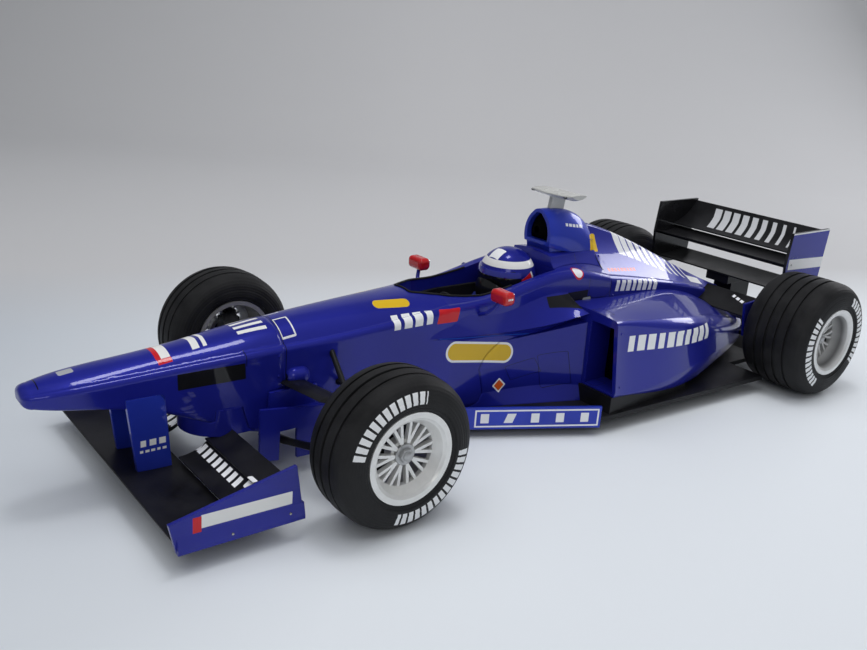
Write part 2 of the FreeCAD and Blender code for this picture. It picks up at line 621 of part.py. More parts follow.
def cover_body():
    """Outside of the engine cover, standing on the floor."""
    under = box(TAIL_X, COVER_SEAM_X, -SIDEPOD_HALF_WIDTH, SIDEPOD_HALF_WIDTH, 0, FLOOR_TOP)
    return loft([cover_section(*s) for s in COVER_SECTIONS]).cut(under)


def engine_cover():
    return cover_body().cut(boss_pockets())


#   columns: x, y outer, (y, z) of the foot, z of the knee, z below the corner,
#   (y, z) of the roof's outer edge, z of its inner edge
POD_SECTIONS = [
    (POD_FRONT_X, SIDEPOD_HALF_WIDTH, (SIDEPOD_HALF_WIDTH - 0.5, 10.3), 12.0, 30.4,
     (SIDEPOD_HALF_WIDTH - 3.8, 31.7), 31.7),
    (COVER_SEAM_X, SIDEPOD_HALF_WIDTH, (SIDEPOD_HALF_WIDTH - 0.9, 8.4), 11.0, 26.6,
     (SIDEPOD_HALF_WIDTH - 4.2, 29.6), 31.0),
    (behind(-41.0), 33.5, (31.6, 6.8), 13.4, 20.6, (28.5, 26.4), 29.4),
    (behind(-24.0), 28.2, (25.8, 6.5), 12.6, 17.0, (22.5, 22.5), 26.5),
    (behind(-7.0), 22.2, (19.8, 7.0), 11.6, 13.8, (17.5, 17.8), 20.5),
    (behind(5.0), 15.6, (14.0, 8.5), 10.8, 12.8, (13.4, 14.8), 16.5),
]
POD_LEAN = 0.12              # inward lean of the pod's side for each millimetre of height
SPLITTER_THICKNESS = 1.4
DUCT_DEPTH = 13.0
DUCT_LOW = 11.0
DUCT_WALL = 1.2
RADIATOR_THICKNESS = 1.8


def pod_section(x, y_out, foot, z_knee, z_side, roof, z_in):
    y_in = pod_split(x)
    y_side = y_out - POD_LEAN * (z_side - z_knee)
    a, b = (x, y_in, foot[1]), (x, y_in, z_in)
    crown = (x, (y_in + roof[0]) / 2, (z_in + roof[1]) / 2 + 0.5)
    c, d = (x, roof[0], roof[1]), (x, y_side, z_side)
    corner = (x, y_side - (y_side - roof[0]) * BEND, roof[1] - (roof[1] - z_side) * BEND)
    e, f = (x, y_out, z_knee), (x, foot[0], foot[1])
    tuck = (x, (y_out + foot[0]) / 2 + 0.25 * (y_out - foot[0]), (z_knee + foot[1]) / 2)
    return Part.Wire([line(a, b), arc(b, crown, c), arc(c, corner, d),
                      line(d, e), arc(e, tuck, f), line(f, a)])


def pod_body():
    return loft([pod_section(*s) for s in POD_SECTIONS])


def duct_section(x, wall, z_high, gap=0.0):
    """Outline of the left duct at x, under a wall of the given thickness."""
    y_low, y_high = SPLITTER_Y + SPLITTER_THICKNESS + gap, SIDEPOD_HALF_WIDTH - wall - gap
    top = z_high - gap
    y_top = y_high - POD_LEAN * (top - DUCT_LOW)
    return polygon([(x, y_low, DUCT_LOW), (x, y_high, DUCT_LOW), (x, y_top, top), (x, y_low, top)])


def duct():
    """Hollow of the left inlet, tapering to the radiator."""
    return loft([duct_section(POD_FRONT_X, DUCT_WALL, 29.4),
                 duct_section(POD_FRONT_X - DUCT_DEPTH, DUCT_WALL + 1.4, 27.4)], ruled=True)


def radiator():
    """Core at the back of the left duct."""
    rear = POD_FRONT_X - DUCT_DEPTH
    outline = duct_section(rear, DUCT_WALL + 1.4, 27.4, SEAT_GAP)
    return Part.Face(outline).extrude(Vector(RADIATOR_THICKNESS, 0, 0))


def sidepod():
    """Left sidepod with its radiator duct."""
    return largest(pod_body().cut(duct()).cut(cover_body()).cut(tub_body()).cut(tub_shoulder()))


def side_panel():
    """Lower flank of the tub that swells out until it meets the sidepod inlet."""
    wires = []
    for x, rows in PANEL_ROWS:
        root = TUB_HALF_WIDTH - FLANK_ROOT
        low, knee, waist, top = [(x, TUB_HALF_WIDTH + y, z) for y, z in rows]
        wires.append(Part.Wire([
            line((x, root, low[2]), low), line(low, knee), line(knee, waist), line(waist, top),
            line(top, (x, root, top[2])), line((x, root, top[2]), (x, root, low[2])),
        ]))
    return largest(loft(wires).cut(tub_body()).cut(tub_shoulder()))


#   columns: x, (half width, z) of the foot, (y, z) of the bulge, (y, z) of the top corner, z top
INLET_DEPTH = 10.0
HOOP_SECTIONS = [
    (ahead(-78.3), (5.0, 45.8), (5.3, 49.6), (2.4, 54.8), 55.9),
    (ahead(-82.0), (5.4, 44.6), (5.7, 49.2), (2.9, 54.6), 55.9),
    (ahead(-89.0), (5.8, 43.4), (5.4, 48.4), (2.9, 53.6), 55.0),
    (COVER_SEAM_X, (5.6, 43.2), (4.0, 46.9), (1.6, 50.0), 50.6),
]


def hoop(x, foot, bulge, corner, z_top):
    a, b = (x, -foot[0], foot[1]), (x, foot[0], foot[1])
    c, d = (x, corner[0], corner[1]), (x, -corner[0], corner[1])
    return Part.Wire([line(a, b), arc(b, (x, bulge[0], bulge[1]), c), arc(c, (x, 0, z_top), d),
                      arc(d, (x, -bulge[0], bulge[1]), a)])


def airbox():
    """Roll hoop fairing with the engine's three-cornered air inlet, standing on the headrest."""
    body = loft([hoop(*s) for s in HOOP_SECTIONS])
    x = HOOP_SECTIONS[0][0]
    low, high, half = 42.0, 46.4, 4.8
    outline = [(x - 1.4, low), (x - 0.6, high), (COVER_SEAM_X, high), (COVER_SEAM_X, low)]
    neck = side_plate(outline, -half, half)
    mouth = loft([hoop(x + 0.1, (4.1, 46.8), (4.2, 49.8), (1.7, 54.0), 54.9),
                  hoop(x - INLET_DEPTH, (3.2, 47.4), (3.2, 49.8), (1.6, 52.4), 53.2)], ruled=True)
    return largest(body.fuse(neck).cut(mouth).cut(headrest()).cut(tub_body()))


def headrest():
    """Raised surround behind the helmet, hollow at its sides, which carries the airbox."""
    wires = []
    #   columns: x, (y, z) of the side's foot, its hollow and its top, z top
    for x, foot, hollow, top, z_top in ((ahead(-77.0), (11.4, 39.6), (8.6, 41.4), (7.6, 43.6), 44.4),
                                        (COVER_SEAM_X, (11.6, 37.4), (8.2, 39.9), (5.6, 43.2), 44.0)):
        a, b = (x, foot[0], 36.0), (x, foot[0], foot[1])
        c, d = (x, top[0], top[1]), (x, -top[0], top[1])
        e, f = (x, -foot[0], foot[1]), (x, -foot[0], 36.0)
        left, right = (x, hollow[0], hollow[1]), (x, -hollow[0], hollow[1])
        wires.append(Part.Wire([line(a, b), arc(b, left, c), arc(c, (x, 0, z_top), d),
                                arc(d, right, e), line(e, f), line(f, a)]))
    return largest(loft(wires, ruled=True).cut(tub_body()))


def camera_pod():
    """Camera mast on top of the airbox, with its little wing."""
    z, half = 60.4, 0.6
    outline = [(ahead(-81.6), 54.0), (ahead(-87.0), 53.5), (ahead(-88.2), z - 0.2), (ahead(-82.6), z - 0.2)]
    mast = side_plate(outline, -half, half)
    #   columns: y, x of the nose and tail, camber, thickness
    half_rows = [(0.0, -80.2, -89.2, 0.5, 2.0), (7.0, -81.4, -89.0, 0.4, 1.8), (8.0, -83.2, -88.6, 0.3, 1.3)]
    rows = [(-y, *rest) for y, *rest in half_rows[:0:-1]] + half_rows
    plane = wing([(y, (ahead(nose), z), (ahead(tail), z), camber, thick)
                  for y, nose, tail, camber, thick in rows])
    return largest(mast.fuse(plane).cut(airbox()))


def mirrors():
    """Rounded housings of the two mirrors and their curved stalks."""
    x, y, z = ahead(-50.0), TUB_HALF_WIDTH + 4.4, 38.2
    block = box(x - 2.0, x + 1.8, y - 3.3, y + 3.3, z - 1.8, z + 1.8)
    housing = block.makeFillet(1.2, block.Edges)
    stalk = bent_rod([(ahead(-47.0), TUB_HALF_WIDTH - 1.5, 32.0),
                      (ahead(-47.6), TUB_HALF_WIDTH + 1.4, 33.2),
                      (ahead(-48.8), TUB_HALF_WIDTH + 2.9, 34.8), (x, y - 0.4, z - 1.0)], 0.55)
    shown = stalk.cut(tub_body()).cut(tub_shoulder()).cut(housing)
    return both_sides(housing), both_sides(largest(shown))


# ---------------------------------------------------------------- floor and aero pieces
SCREW_PLACES = [ahead(-60.0), ahead(-60.0) - DISPLAY_SCREW_SPACING]
BOSS_RADIUS = DISPLAY_SCREW_RADIUS + BOSS_WALL
#   line that the floor's front edge and the strips follow: (x, y) at the front and rear
STRIP_FRONT = (ahead(-28.3), TUB_HALF_WIDTH - 2.1)
STRIP_REAR = (ahead(-74.8), FLOOR_HALF_WIDTH - 0.7)
STRIP_THICKNESS = 0.8
FLOOR_STEP_X = behind(-14.6)
DIFFUSER_X = behind(2.0)


def upright_cylinders(radius, z_low, height):
    """Cylinders at both places of the display screws."""
    places = [Vector(x, 0, z_low) for x in SCREW_PLACES]
    return Part.makeCompound([Part.makeCylinder(radius, height, place) for place in places])


def boss_pockets():
    return upright_cylinders(BOSS_RADIUS + SEAT_GAP, FLOOR_TOP, BOSS_HEIGHT)


def sill():
    """Black wedge under the front of the left sidepod."""
    front, rear = POD_FRONT_X + 0.6, behind(-47.0)
    outline = [(front, FLOOR_TOP), (front, 10.3), (rear, 7.6), (rear, FLOOR_TOP)]
    outer = SIDEPOD_HALF_WIDTH - 0.6
    wedge = side_plate(outline, TUB_HALF_WIDTH, outer)
    inner = TUB_HALF_WIDTH
    plan = flat_plate([(front, inner), (front, outer), (rear, outer - 2.0), (rear, inner)],
                      0, FRONT_TYRE_RADIUS)
    return largest(wedge.common(plan).cut(pod_body()).cut(side_panel()).cut(tub_body()))


def floor():
    """Stepped floor with its sills and two screw bosses for a display base."""
    wide = FLOOR_HALF_WIDTH
    half = [(ahead(-25.0), 9.0), STRIP_FRONT, STRIP_REAR, (POD_FRONT_X, wide),
            (FLOOR_STEP_X, wide + FLOOR_SPREAD), (FLOOR_STEP_X, 26.0), (DIFFUSER_X, 26.0)]
    outline = half + [(x, -y) for x, y in reversed(half)]
    plate = flat_plate(outline, GROUND_CLEARANCE, FLOOR_TOP)
    bosses = upright_cylinders(BOSS_RADIUS, FLOOR_TOP, BOSS_HEIGHT)
    holes = upright_cylinders(DISPLAY_SCREW_RADIUS, GROUND_CLEARANCE, DISPLAY_SCREW_DEPTH)
    left = sill()
    return plate.fuse([left, mirrored(left), bosses]).removeSplitter().cut(holes)


def plank():
    """Three boards under the floor, with the screw bosses in the gaps between them."""
    low, gap = GROUND_CLEARANCE - PLANK_THICKNESS, BOSS_RADIUS + 0.4
    ends = [ahead(-28.0)]
    for x in SCREW_PLACES:
        ends += [x + gap, x - gap]
    ends.append(behind(-12.0))
    boards = [box(rear, front, -PLANK_HALF_WIDTH, PLANK_HALF_WIDTH, low, GROUND_CLEARANCE)
              for front, rear in zip(ends[::2], ends[1::2])]
    return Part.makeCompound(boards)


def barge_strip():
    """Low strip along the slanted front edge of the floor."""
    (x_front, y_front), (x_rear, y_rear) = STRIP_FRONT, STRIP_REAR
    length = math.hypot(x_front - x_rear, y_rear - y_front)
    out_x = (y_rear - y_front) / length * STRIP_THICKNESS
    out_y = (x_front - x_rear) / length * STRIP_THICKNESS
    plan = [(x_front, y_front), (x_front + out_x, y_front + out_y),
            (x_rear + out_x, y_rear + out_y), (x_rear, y_rear)]
    return largest(flat_plate(plan, GROUND_CLEARANCE - 1.4, FLOOR_TOP + 3.4).cut(tub_body()))


def turning_vane():
    """Flat vane behind the front arms, notched for the lower arm, on a shelf from the tub."""
    outline = [(ahead(17.0), 5.3), (ahead(17.0), 18.5), (ahead(0.0), 16.3), (ahead(0.0), 4.0),
               (ahead(7.2), 4.2), (ahead(7.4), 12.0), (ahead(11.8), 12.0), (ahead(12.0), 4.7)]
    inner, outer = 13.0, 13.8
    vane = side_plate(outline, inner, outer)
    shelf = box(ahead(0.4), ahead(13.0), 8.0, inner, 15.2, 16.0)
    post = box(ahead(0.4), ahead(13.0), 9.8, 10.6, 16.0, 20.8)
    whole = vane.fuse([shelf, post]).removeSplitter()
    return largest(whole.cut(tub_body()).cut(nose_cone()).cut(nose_keel()))


def diffuser():
    half, rear = 24.0, behind(21.5)
    low, high = GROUND_CLEARANCE, 9.0
    front, thick = DIFFUSER_X, 1.2
    roof = side_plate([(front, low), (front, low + thick), (rear, high + thick), (rear, high)], -half, half)
    fence = [(front, low), (rear, low + 1.4), (rear, high + 0.4)]
    fences = [side_plate(fence, y - 0.4, y + 0.4) for y in (-half + 0.4, -9.0, 9.0, half - 0.4)]
    return roof.fuse(fences).removeSplitter()


def gearbox():
    """Gearbox casing and crash structure behind the engine, under the tail."""
    stations = [(behind(-7.0), 5.0, 8.0, 17.0), (behind(13.0), 4.6, 10.6, 18.6)]
    wires = [polygon([(x, -h, a), (x, h, a), (x, h, b), (x, -h, b)]) for x, h, a, b in stations]
    casing = loft(wires, ruled=True)
    tail = box(behind(24.0), behind(13.0), -3.6, 3.6, 15.0, 24.4)
    pad = box(behind(21.0), behind(9.0), -4.6, 4.6, 23.6, 26.8)
    beam = rear_wing()[2]
    return largest(casing.fuse([tail, pad]).cut(cover_body()).cut(beam))


# ---------------------------------------------------------------- rear wing
def rear_wing():
    """Main plane, flap and beam wing between the rear endplates."""
    ends = (-INNER_REAR_Y, INNER_REAR_Y)
    main = wing([(y, (behind(6.0), 36.4), (behind(17.6), 37.4), -1.0, 1.4) for y in ends])
    flap = wing([(y, (behind(15.4), 38.5), (behind(27.4), 46.4), -1.2, 1.2) for y in ends])
    beam = wing([(y, (behind(8.0), 27.0), (behind(22.4), 28.6), -0.6, 1.4) for y in ends])
    return main, flap, beam


def rear_endplate():
    outline = [(behind(6.5), 47.1), (behind(REAR_OVERHANG), 47.1), (behind(25.4), 23.6),
               (behind(6.4), 23.6), (behind(5.2), 36.0)]
    return side_plate(outline, INNER_REAR_Y, REAR_WING_HALF_SPAN)


def rear_winglet():
    """Small steep wing ahead of the rear tyre, with its tapered endplate."""
    y_tip = REAR_TYRE_INNER_Y - 1.8
    y_plate = y_tip - 0.8
    plane = wing([(y, (behind(-12.8), 21.4), (behind(-4.6), 26.0), -0.4, 0.9) for y in (6.0, y_plate)])
    outline = [(behind(-14.0), 25.8), (behind(-3.5), 26.6), (behind(-9.6), 15.2), (behind(-12.0), 14.8)]
    plate = side_plate(outline, y_plate, y_tip)
    return largest(plane.cut(cover_body()).cut(pod_body())), plate


# ---------------------------------------------------------------- rear suspension
def rear_upright():
    x, z, inner = REAR_AXLE_X, REAR_TYRE_RADIUS, REAR_TYRE_INNER_Y
    face = spoke_face(REAR_WHEEL_Y, REAR_TYRE_WIDTH, REAR_SPOKE_DEPTH)
    reach = UPRIGHT_JOINT + 1.4
    block = box(x - 2.6, x + 2.6, inner + 1.0, inner + 4.4, z - reach, z + reach)
    collar = rod((x, inner + 2.0, z), (x, face - HUB_LENGTH - MOVE_GAP, z), 2.2)
    axle = rod((x, inner + 2.0, z), (x, face - AXLE_END - MOVE_GAP, z), AXLE_RADIUS)
    return block.fuse([collar, axle])


def outside_body(shape):
    """The stretch of a leg or shaft that shows between the bodywork and the upright."""
    return largest(shape.cut(cover_body()).cut(pod_body()).cut(gearbox()).cut(rear_upright()))


def rear_arms(z_root, z_tip):
    tip = (REAR_AXLE_X, REAR_TYRE_INNER_Y + 1.2, z_tip)
    legs = [rod((root_x, 3.0, z_root), tip, 0.7) for root_x in (behind(-10.0), behind(9.0))]
    return outside_body(legs[0].fuse(legs[1]))


def driveshaft():
    tip = (REAR_AXLE_X, REAR_TYRE_INNER_Y + 1.2, REAR_TYRE_RADIUS)
    return outside_body(rod((REAR_AXLE_X, 3.0, REAR_TYRE_RADIUS - 3.0), tip, 0.9))


# ---------------------------------------------------------------- assembly
def build():
    add("nose_cone", nose_cone())
    add("nose_keel", nose_keel())
    add("wing_pylons", wing_pylons())
    add("front_wing_plane", front_wing_plane())
    add("front_wing_flaps", front_wing_flaps())
    plate = front_endplate()
    add("front_endplate_left", plate)
    add("front_endplate_right", mirrored(plate))
    add("turning_vanes", both_sides(turning_vane()))

    add("tub", tub())
    add("cockpit_liner", cockpit_liner())
    add("driver_torso", driver_torso())
    add("helmet", helmet())
    add("visor", visor())
    add("steering_wheel", steering_wheel())
    housings, stalks = mirrors()
    add("mirror_housings", housings)
    add("mirror_stalks", stalks)
    add("headrest", headrest())
    add("airbox", airbox())
    add("camera_pod", camera_pod())
    add("engine_cover", engine_cover())
    pod = sidepod()
    add("sidepod_left", pod)
    add("sidepod_right", mirrored(pod))
    add("radiators", both_sides(radiator()))
    add("side_panels", both_sides(side_panel()))

    add("floor", floor())
    add("plank", plank())
    add("barge_strips", both_sides(barge_strip()))
    add("diffuser", diffuser())
    add("gearbox", gearbox())
    main, flap, beam = rear_wing()
    add("rear_wing_main", main)
    add("rear_wing_flap", flap)
    add("rear_wing_beam", beam)
    plate = rear_endplate()
    add("rear_endplate_left", plate)
    add("rear_endplate_right", mirrored(plate))
    plane, plate = rear_winglet()
    add("rear_winglets", both_sides(plane))
    add("rear_winglet_plates", both_sides(plate))

    add("front_upper_arms", front_arm(UPPER_ARM_STATIONS))
    add("front_lower_arms", front_arm(LOWER_ARM_STATIONS))
    add("front_pushrods", front_pushrods())
    left = knuckle()
    add("knuckle_left", left)
    add("knuckle_right", mirrored(left))
    add("track_rod", track_rod())
    add("rear_uprights", both_sides(rear_upright()))
    add("rear_upper_arms", both_sides(rear_arms(20.0, REAR_TYRE_RADIUS + UPRIGHT_JOINT)))
    add("rear_lower_arms", both_sides(rear_arms(11.0, REAR_TYRE_RADIUS - UPRIGHT_JOINT)))
    add("driveshafts", both_sides(driveshaft()))

    #   columns: axle, x, wheel y, tyre radius, tyre width, shoulder, spoke depth
    axles = [("front", FRONT_AXLE_X, FRONT_WHEEL_Y, FRONT_TYRE_RADIUS, FRONT_TYRE_WIDTH,
              FRONT_TYRE_SHOULDER, FRONT_SPOKE_DEPTH),
             ("rear", REAR_AXLE_X, REAR_WHEEL_Y, REAR_TYRE_RADIUS, REAR_TYRE_WIDTH,
              REAR_TYRE_SHOULDER, REAR_SPOKE_DEPTH)]
    for axle, x, wheel_y, radius, width, shoulder, depth in axles:
        rubber = tyre(x, wheel_y, radius, width, shoulder)
        metal = rim(x, wheel_y, radius, width, depth)
        add("tyre_%s_left" % axle, rubber)
        add("tyre_%s_right" % axle, mirrored(rubber))
        add("rim_%s_left" % axle, metal)
        add("rim_%s_right" % axle, mirrored(metal))


build()
os.makedirs("parts", exist_ok=True)
for name, shape in NODES.items():
    shape.exportStep("parts/%s.step" % name)
    print("%-22s solids %d  valid %s" % (name, len(shape.Solids), shape.isValid()))
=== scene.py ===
# %% [markdown]
# # A die-cast racing car, dressed from its CAD frame
# This lesson finishes a small display model of an open wheel racing car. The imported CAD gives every
# piece its place and its motion. Here the pieces get paint, rubber and printed stripes, and the few
# things that CAD leaves out: tyre grooves, belts, edgings and small screws. The frame comes first,
# because every later piece rides on one of its bodies.

# %% Load the frame
import math

import bmesh
import bpy
from mathutils import Matrix, Vector
from mathutils.bvhtree import BVHTree


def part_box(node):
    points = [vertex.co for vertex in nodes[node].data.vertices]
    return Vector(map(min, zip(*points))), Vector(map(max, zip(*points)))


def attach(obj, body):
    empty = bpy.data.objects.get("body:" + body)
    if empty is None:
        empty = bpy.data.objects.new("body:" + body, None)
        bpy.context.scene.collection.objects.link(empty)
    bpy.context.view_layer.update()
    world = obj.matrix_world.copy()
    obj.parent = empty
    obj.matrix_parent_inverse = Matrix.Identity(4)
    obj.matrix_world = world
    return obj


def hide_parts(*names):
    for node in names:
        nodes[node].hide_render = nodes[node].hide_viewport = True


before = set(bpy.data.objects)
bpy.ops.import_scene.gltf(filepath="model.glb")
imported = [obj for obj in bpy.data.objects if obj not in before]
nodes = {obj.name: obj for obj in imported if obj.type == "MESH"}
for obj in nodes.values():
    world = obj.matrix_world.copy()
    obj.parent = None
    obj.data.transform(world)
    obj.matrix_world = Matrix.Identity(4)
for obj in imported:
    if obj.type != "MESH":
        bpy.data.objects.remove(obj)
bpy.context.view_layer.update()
MM = 0.001

# %% [markdown]
# The axles are the landmarks for tyres, rims and nuts. A wheel is round, so the middle of its box is
# its axle. Measured once here, they follow if the CAD changes.

# %% Find the axles
def middle(node):
    low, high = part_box(node)
    return (low + high) / 2


front_axle = middle("tyre_front_left") / MM
rear_axle = middle("tyre_rear_left") / MM

print("front axle x %.1f, rear axle x %.1f" % (front_axle.x, rear_axle.x))

# %% [markdown]
# ## Helpers for meshes
# Tyres, nuts, plates, linings and screws are all built the same way: rings of points, each joined to
# the next by a band of faces. Three small helpers do the joining, the closing and the placing, so the
# later cells only say where the points go.

# %% Mesh helpers
def join_rings(shape, one, two):
    """A band of faces between two closed rings that hold the same number of points."""
    for step in range(len(one)):
        after = (step + 1) % len(one)
        shape.faces.new((one[step], one[after], two[after], two[step]))


def close_shape(shape, name, outward=True):
    """The finished mesh, with its faces turned outward if asked."""
    if outward:
        bmesh.ops.recalc_face_normals(shape, faces=shape.faces)
    mesh = bpy.data.meshes.new(name)
    shape.to_mesh(mesh)
    shape.free()
    return mesh


def mesh_piece(name, mesh, finish, body):
    """A piece of the model that rides on one body of the frame, smooth except at sharp edges."""
    piece = bpy.data.objects.new(name, mesh)
    bpy.context.collection.objects.link(piece)
    mesh.materials.append(finish)
    for polygon in mesh.polygons:
        polygon.use_smooth = True
    mesh.set_sharp_from_angle(angle=math.radians(SHARP_FROM))
    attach(piece, body)
    return piece


SHARP_FROM = 38          # degrees between two faces from which their edge stays sharp
SIDES = (("left", 1), ("right", -1))
print("mesh helpers ready")

# %% [markdown]
# ## Helpers for node materials
# A material is a graph. These helpers add one node each and hand back its output, so that a longer
# recipe reads as a sum. Only values that change over a surface go through nodes. A value that is the
# same everywhere is typed on the shader itself.

# %% Node helpers
def new_material(name):
    material = bpy.data.materials.new(name)
    material.use_nodes = True
    return material, material.node_tree, material.node_tree.nodes["Principled BSDF"]


def connect(tree, value, socket):
    if isinstance(value, bpy.types.NodeSocket):
        tree.links.new(value, socket)
    else:
        socket.default_value = value


def calculate(tree, operation, first, second=0.0, clamp=False):
    node = tree.nodes.new("ShaderNodeMath")
    node.operation = operation
    node.use_clamp = clamp
    connect(tree, first, node.inputs[0])
    connect(tree, second, node.inputs[1])
    return node.outputs[0]


def blend_colour(tree, amount, under, over):
    node = tree.nodes.new("ShaderNodeMix")
    node.data_type = "RGBA"
    connect(tree, amount, node.inputs[0])
    connect(tree, under, node.inputs[6])
    connect(tree, over, node.inputs[7])
    return node.outputs[2]


def noise(tree, scale, detail=2.0, roughness=0.5):
    """Noise over the piece's own place in millimetres."""
    place = tree.nodes.new("ShaderNodeTexCoord").outputs["Object"]
    node = tree.nodes.new("ShaderNodeTexNoise")
    tree.links.new(place, node.inputs["Vector"])
    node.inputs["Scale"].default_value = scale / MM
    node.inputs["Detail"].default_value = detail
    node.inputs["Roughness"].default_value = roughness
    return node.outputs["Fac"]


def remap(tree, value, low, high, new_low, new_high):
    node = tree.nodes.new("ShaderNodeMapRange")
    connect(tree, value, node.inputs["Value"])
    for socket, number in zip(node.inputs[1:5], (low, high, new_low, new_high)):
        socket.default_value = number
    return node.outputs["Result"]


def round_axle(tree, axle):
    """Way forward, way up, radius and distance from the car's middle, in millimetres from an axle."""
    apart = tree.nodes.new("ShaderNodeSeparateXYZ")
    tree.links.new(tree.nodes.new("ShaderNodeTexCoord").outputs["Object"], apart.inputs[0])
    across = calculate(tree, "SUBTRACT", calculate(tree, "DIVIDE", apart.outputs["X"], MM), axle.x)
    upward = calculate(tree, "SUBTRACT", calculate(tree, "DIVIDE", apart.outputs["Z"], MM), axle.z)
    squares = calculate(tree, "ADD", calculate(tree, "POWER", across, 2.0),
                        calculate(tree, "POWER", upward, 2.0))
    depth = calculate(tree, "DIVIDE", calculate(tree, "ABSOLUTE", apart.outputs["Y"]), MM)
    return across, upward, calculate(tree, "SQRT", squares), depth


def rough_skin(tree, shader, height, depth, edge=0.0):
    """Bump of the given depth, over edges that look rounded by the given radius, both in millimetres."""
    bump = tree.nodes.new("ShaderNodeBump")
    if edge:
        rounded = tree.nodes.new("ShaderNodeBevel")
        rounded.samples = 4
        rounded.inputs["Radius"].default_value = edge * MM
        tree.links.new(rounded.outputs["Normal"], bump.inputs["Normal"])
    bump.inputs["Distance"].default_value = depth * MM
    connect(tree, height, bump.inputs["Height"])
    tree.links.new(bump.outputs["Normal"], shader.inputs["Normal"])
    return bump


print("node helpers ready")

# %% [markdown]
# ## Printed marks
# The livery is printed: stripes, plates and pills with sharp edges. An image would blur and need
# unwrapping. A small group of nodes does better: it measures how far a point is from a rounded
# rectangle that stands anywhere in space, and the edge stays crisp at any size. Left and right are
# alike on the model, so the group can fold the two sides together.

# %% The group that prints one mark
def make_print_group():
    group = bpy.data.node_groups.new("printed mark", "ShaderNodeTree")
    for name, kind in (("Centre", "NodeSocketVector"), ("Along", "NodeSocketVector"),
                       ("Across", "NodeSocketVector"), ("Facing", "NodeSocketVector"),
                       ("Half length", "NodeSocketFloat"), ("Half width", "NodeSocketFloat"),
                       ("Corner", "NodeSocketFloat"), ("Fold", "NodeSocketFloat"),
                       ("Hollow", "NodeSocketFloat")):
        group.interface.new_socket(name, in_out="INPUT", socket_type=kind)
    group.interface.new_socket("Mask", in_out="OUTPUT", socket_type="NodeSocketFloat")
    start, end = group.nodes.new("NodeGroupInput"), group.nodes.new("NodeGroupOutput")
    place = group.nodes.new("ShaderNodeTexCoord")

    def taken_apart(vector):
        apart = group.nodes.new("ShaderNodeSeparateXYZ")
        group.links.new(vector, apart.inputs[0])
        return apart

    point, normal = taken_apart(place.outputs["Object"]), taken_apart(place.outputs["Normal"])
    side = calculate(group, "SIGN", point.outputs["Y"])
    turn = calculate(group, "MULTIPLY", calculate(group, "SUBTRACT", side, 1.0), start.outputs["Fold"])
    turn = calculate(group, "ADD", turn, 1.0)

    def together(apart, scale):
        node = group.nodes.new("ShaderNodeCombineXYZ")
        for axis in "XYZ":
            value = calculate(group, "MULTIPLY", apart.outputs[axis], scale)
            if axis == "Y":
                value = calculate(group, "MULTIPLY", value, turn)
            group.links.new(value, node.inputs[axis])
        return node.outputs[0]

    def dot(a, b):
        node = group.nodes.new("ShaderNodeVectorMath")
        node.operation = "DOT_PRODUCT"
        group.links.new(a, node.inputs[0])
        group.links.new(b, node.inputs[1])
        return node.outputs["Value"]

    away = group.nodes.new("ShaderNodeVectorMath")
    away.operation = "SUBTRACT"
    group.links.new(together(point, 1 / MM), away.inputs[0])
    group.links.new(start.outputs["Centre"], away.inputs[1])
    corner = start.outputs["Corner"]
    outside = []
    for axis, half in (("Along", "Half length"), ("Across", "Half width")):
        reach = calculate(group, "ABSOLUTE", dot(away.outputs[0], start.outputs[axis]))
        inner = calculate(group, "SUBTRACT", start.outputs[half], corner)
        outside.append(calculate(group, "SUBTRACT", reach, inner))
    inside = calculate(group, "MINIMUM", calculate(group, "MAXIMUM", outside[0], outside[1]), 0.0)
    squares = [calculate(group, "POWER", calculate(group, "MAXIMUM", value, 0.0), 2.0)
               for value in outside]
    beyond = calculate(group, "SQRT", calculate(group, "ADD", squares[0], squares[1]))
    distance = calculate(group, "SUBTRACT", calculate(group, "ADD", inside, beyond), corner)
    hole = calculate(group, "MULTIPLY", calculate(group, "ADD", distance, start.outputs["Hollow"]), -1.0)
    distance = calculate(group, "MAXIMUM", distance, hole)
    mask = remap(group, distance, -SOFT_EDGE, SOFT_EDGE, 1.0, 0.0)
    turned = dot(together(normal, 1.0), start.outputs["Facing"])
    length = group.nodes.new("ShaderNodeVectorMath")
    length.operation = "LENGTH"
    group.links.new(start.outputs["Facing"], length.inputs[0])
    any_way = calculate(group, "SUBTRACT", 1.0, length.outputs["Value"])
    facing = calculate(group, "GREATER_THAN", calculate(group, "ADD", turned, any_way), LEAST_FACING)
    group.links.new(calculate(group, "MULTIPLY", mask, facing), end.inputs["Mask"])
    return group


SOFT_EDGE = 0.03         # half the width of a mark's edge, in millimetres
LEAST_FACING = 0.15      # a mark shows only where the skin faces its way by at least this much
print_group = make_print_group()
print("print group has", len(print_group.nodes), "nodes")

# %% [markdown]
# A mark is written as a short row: its colour, centre, half size, the way it faces, how far it leans
# and how round its corners are. `side` marks stand on the flanks and are measured in x and z, `top`
# marks lie on upward faces and are measured in x and y. `strip` is the turned plane of the low strips
# beside the tub, and `lid` the sloping face beside the headrest. A lean turns the mark, a slant pushes
# its ends over so that a bar becomes a sloping stripe.

# %% Rows for marks
SIDE, TOP = "side", "top"
FACES = {SIDE: ((1, 0, 0), (0, 0, 1), (0, 1, 0)), TOP: ((1, 0, 0), (0, 1, 0), (0, 0, 1)),
         "strip": ((0.893, -0.45, 0), (0, 0, 1), (0.45, 0.893, 0)),
         "lid": ((1, 0, 0), (0, 0.76, -0.65), (0, 0.65, 0.76))}
LID_ORIGIN = Vector((0, 12.6, 39.5))
SOLID = 1000.0           # a hollow width that no mark reaches, so the mark is filled


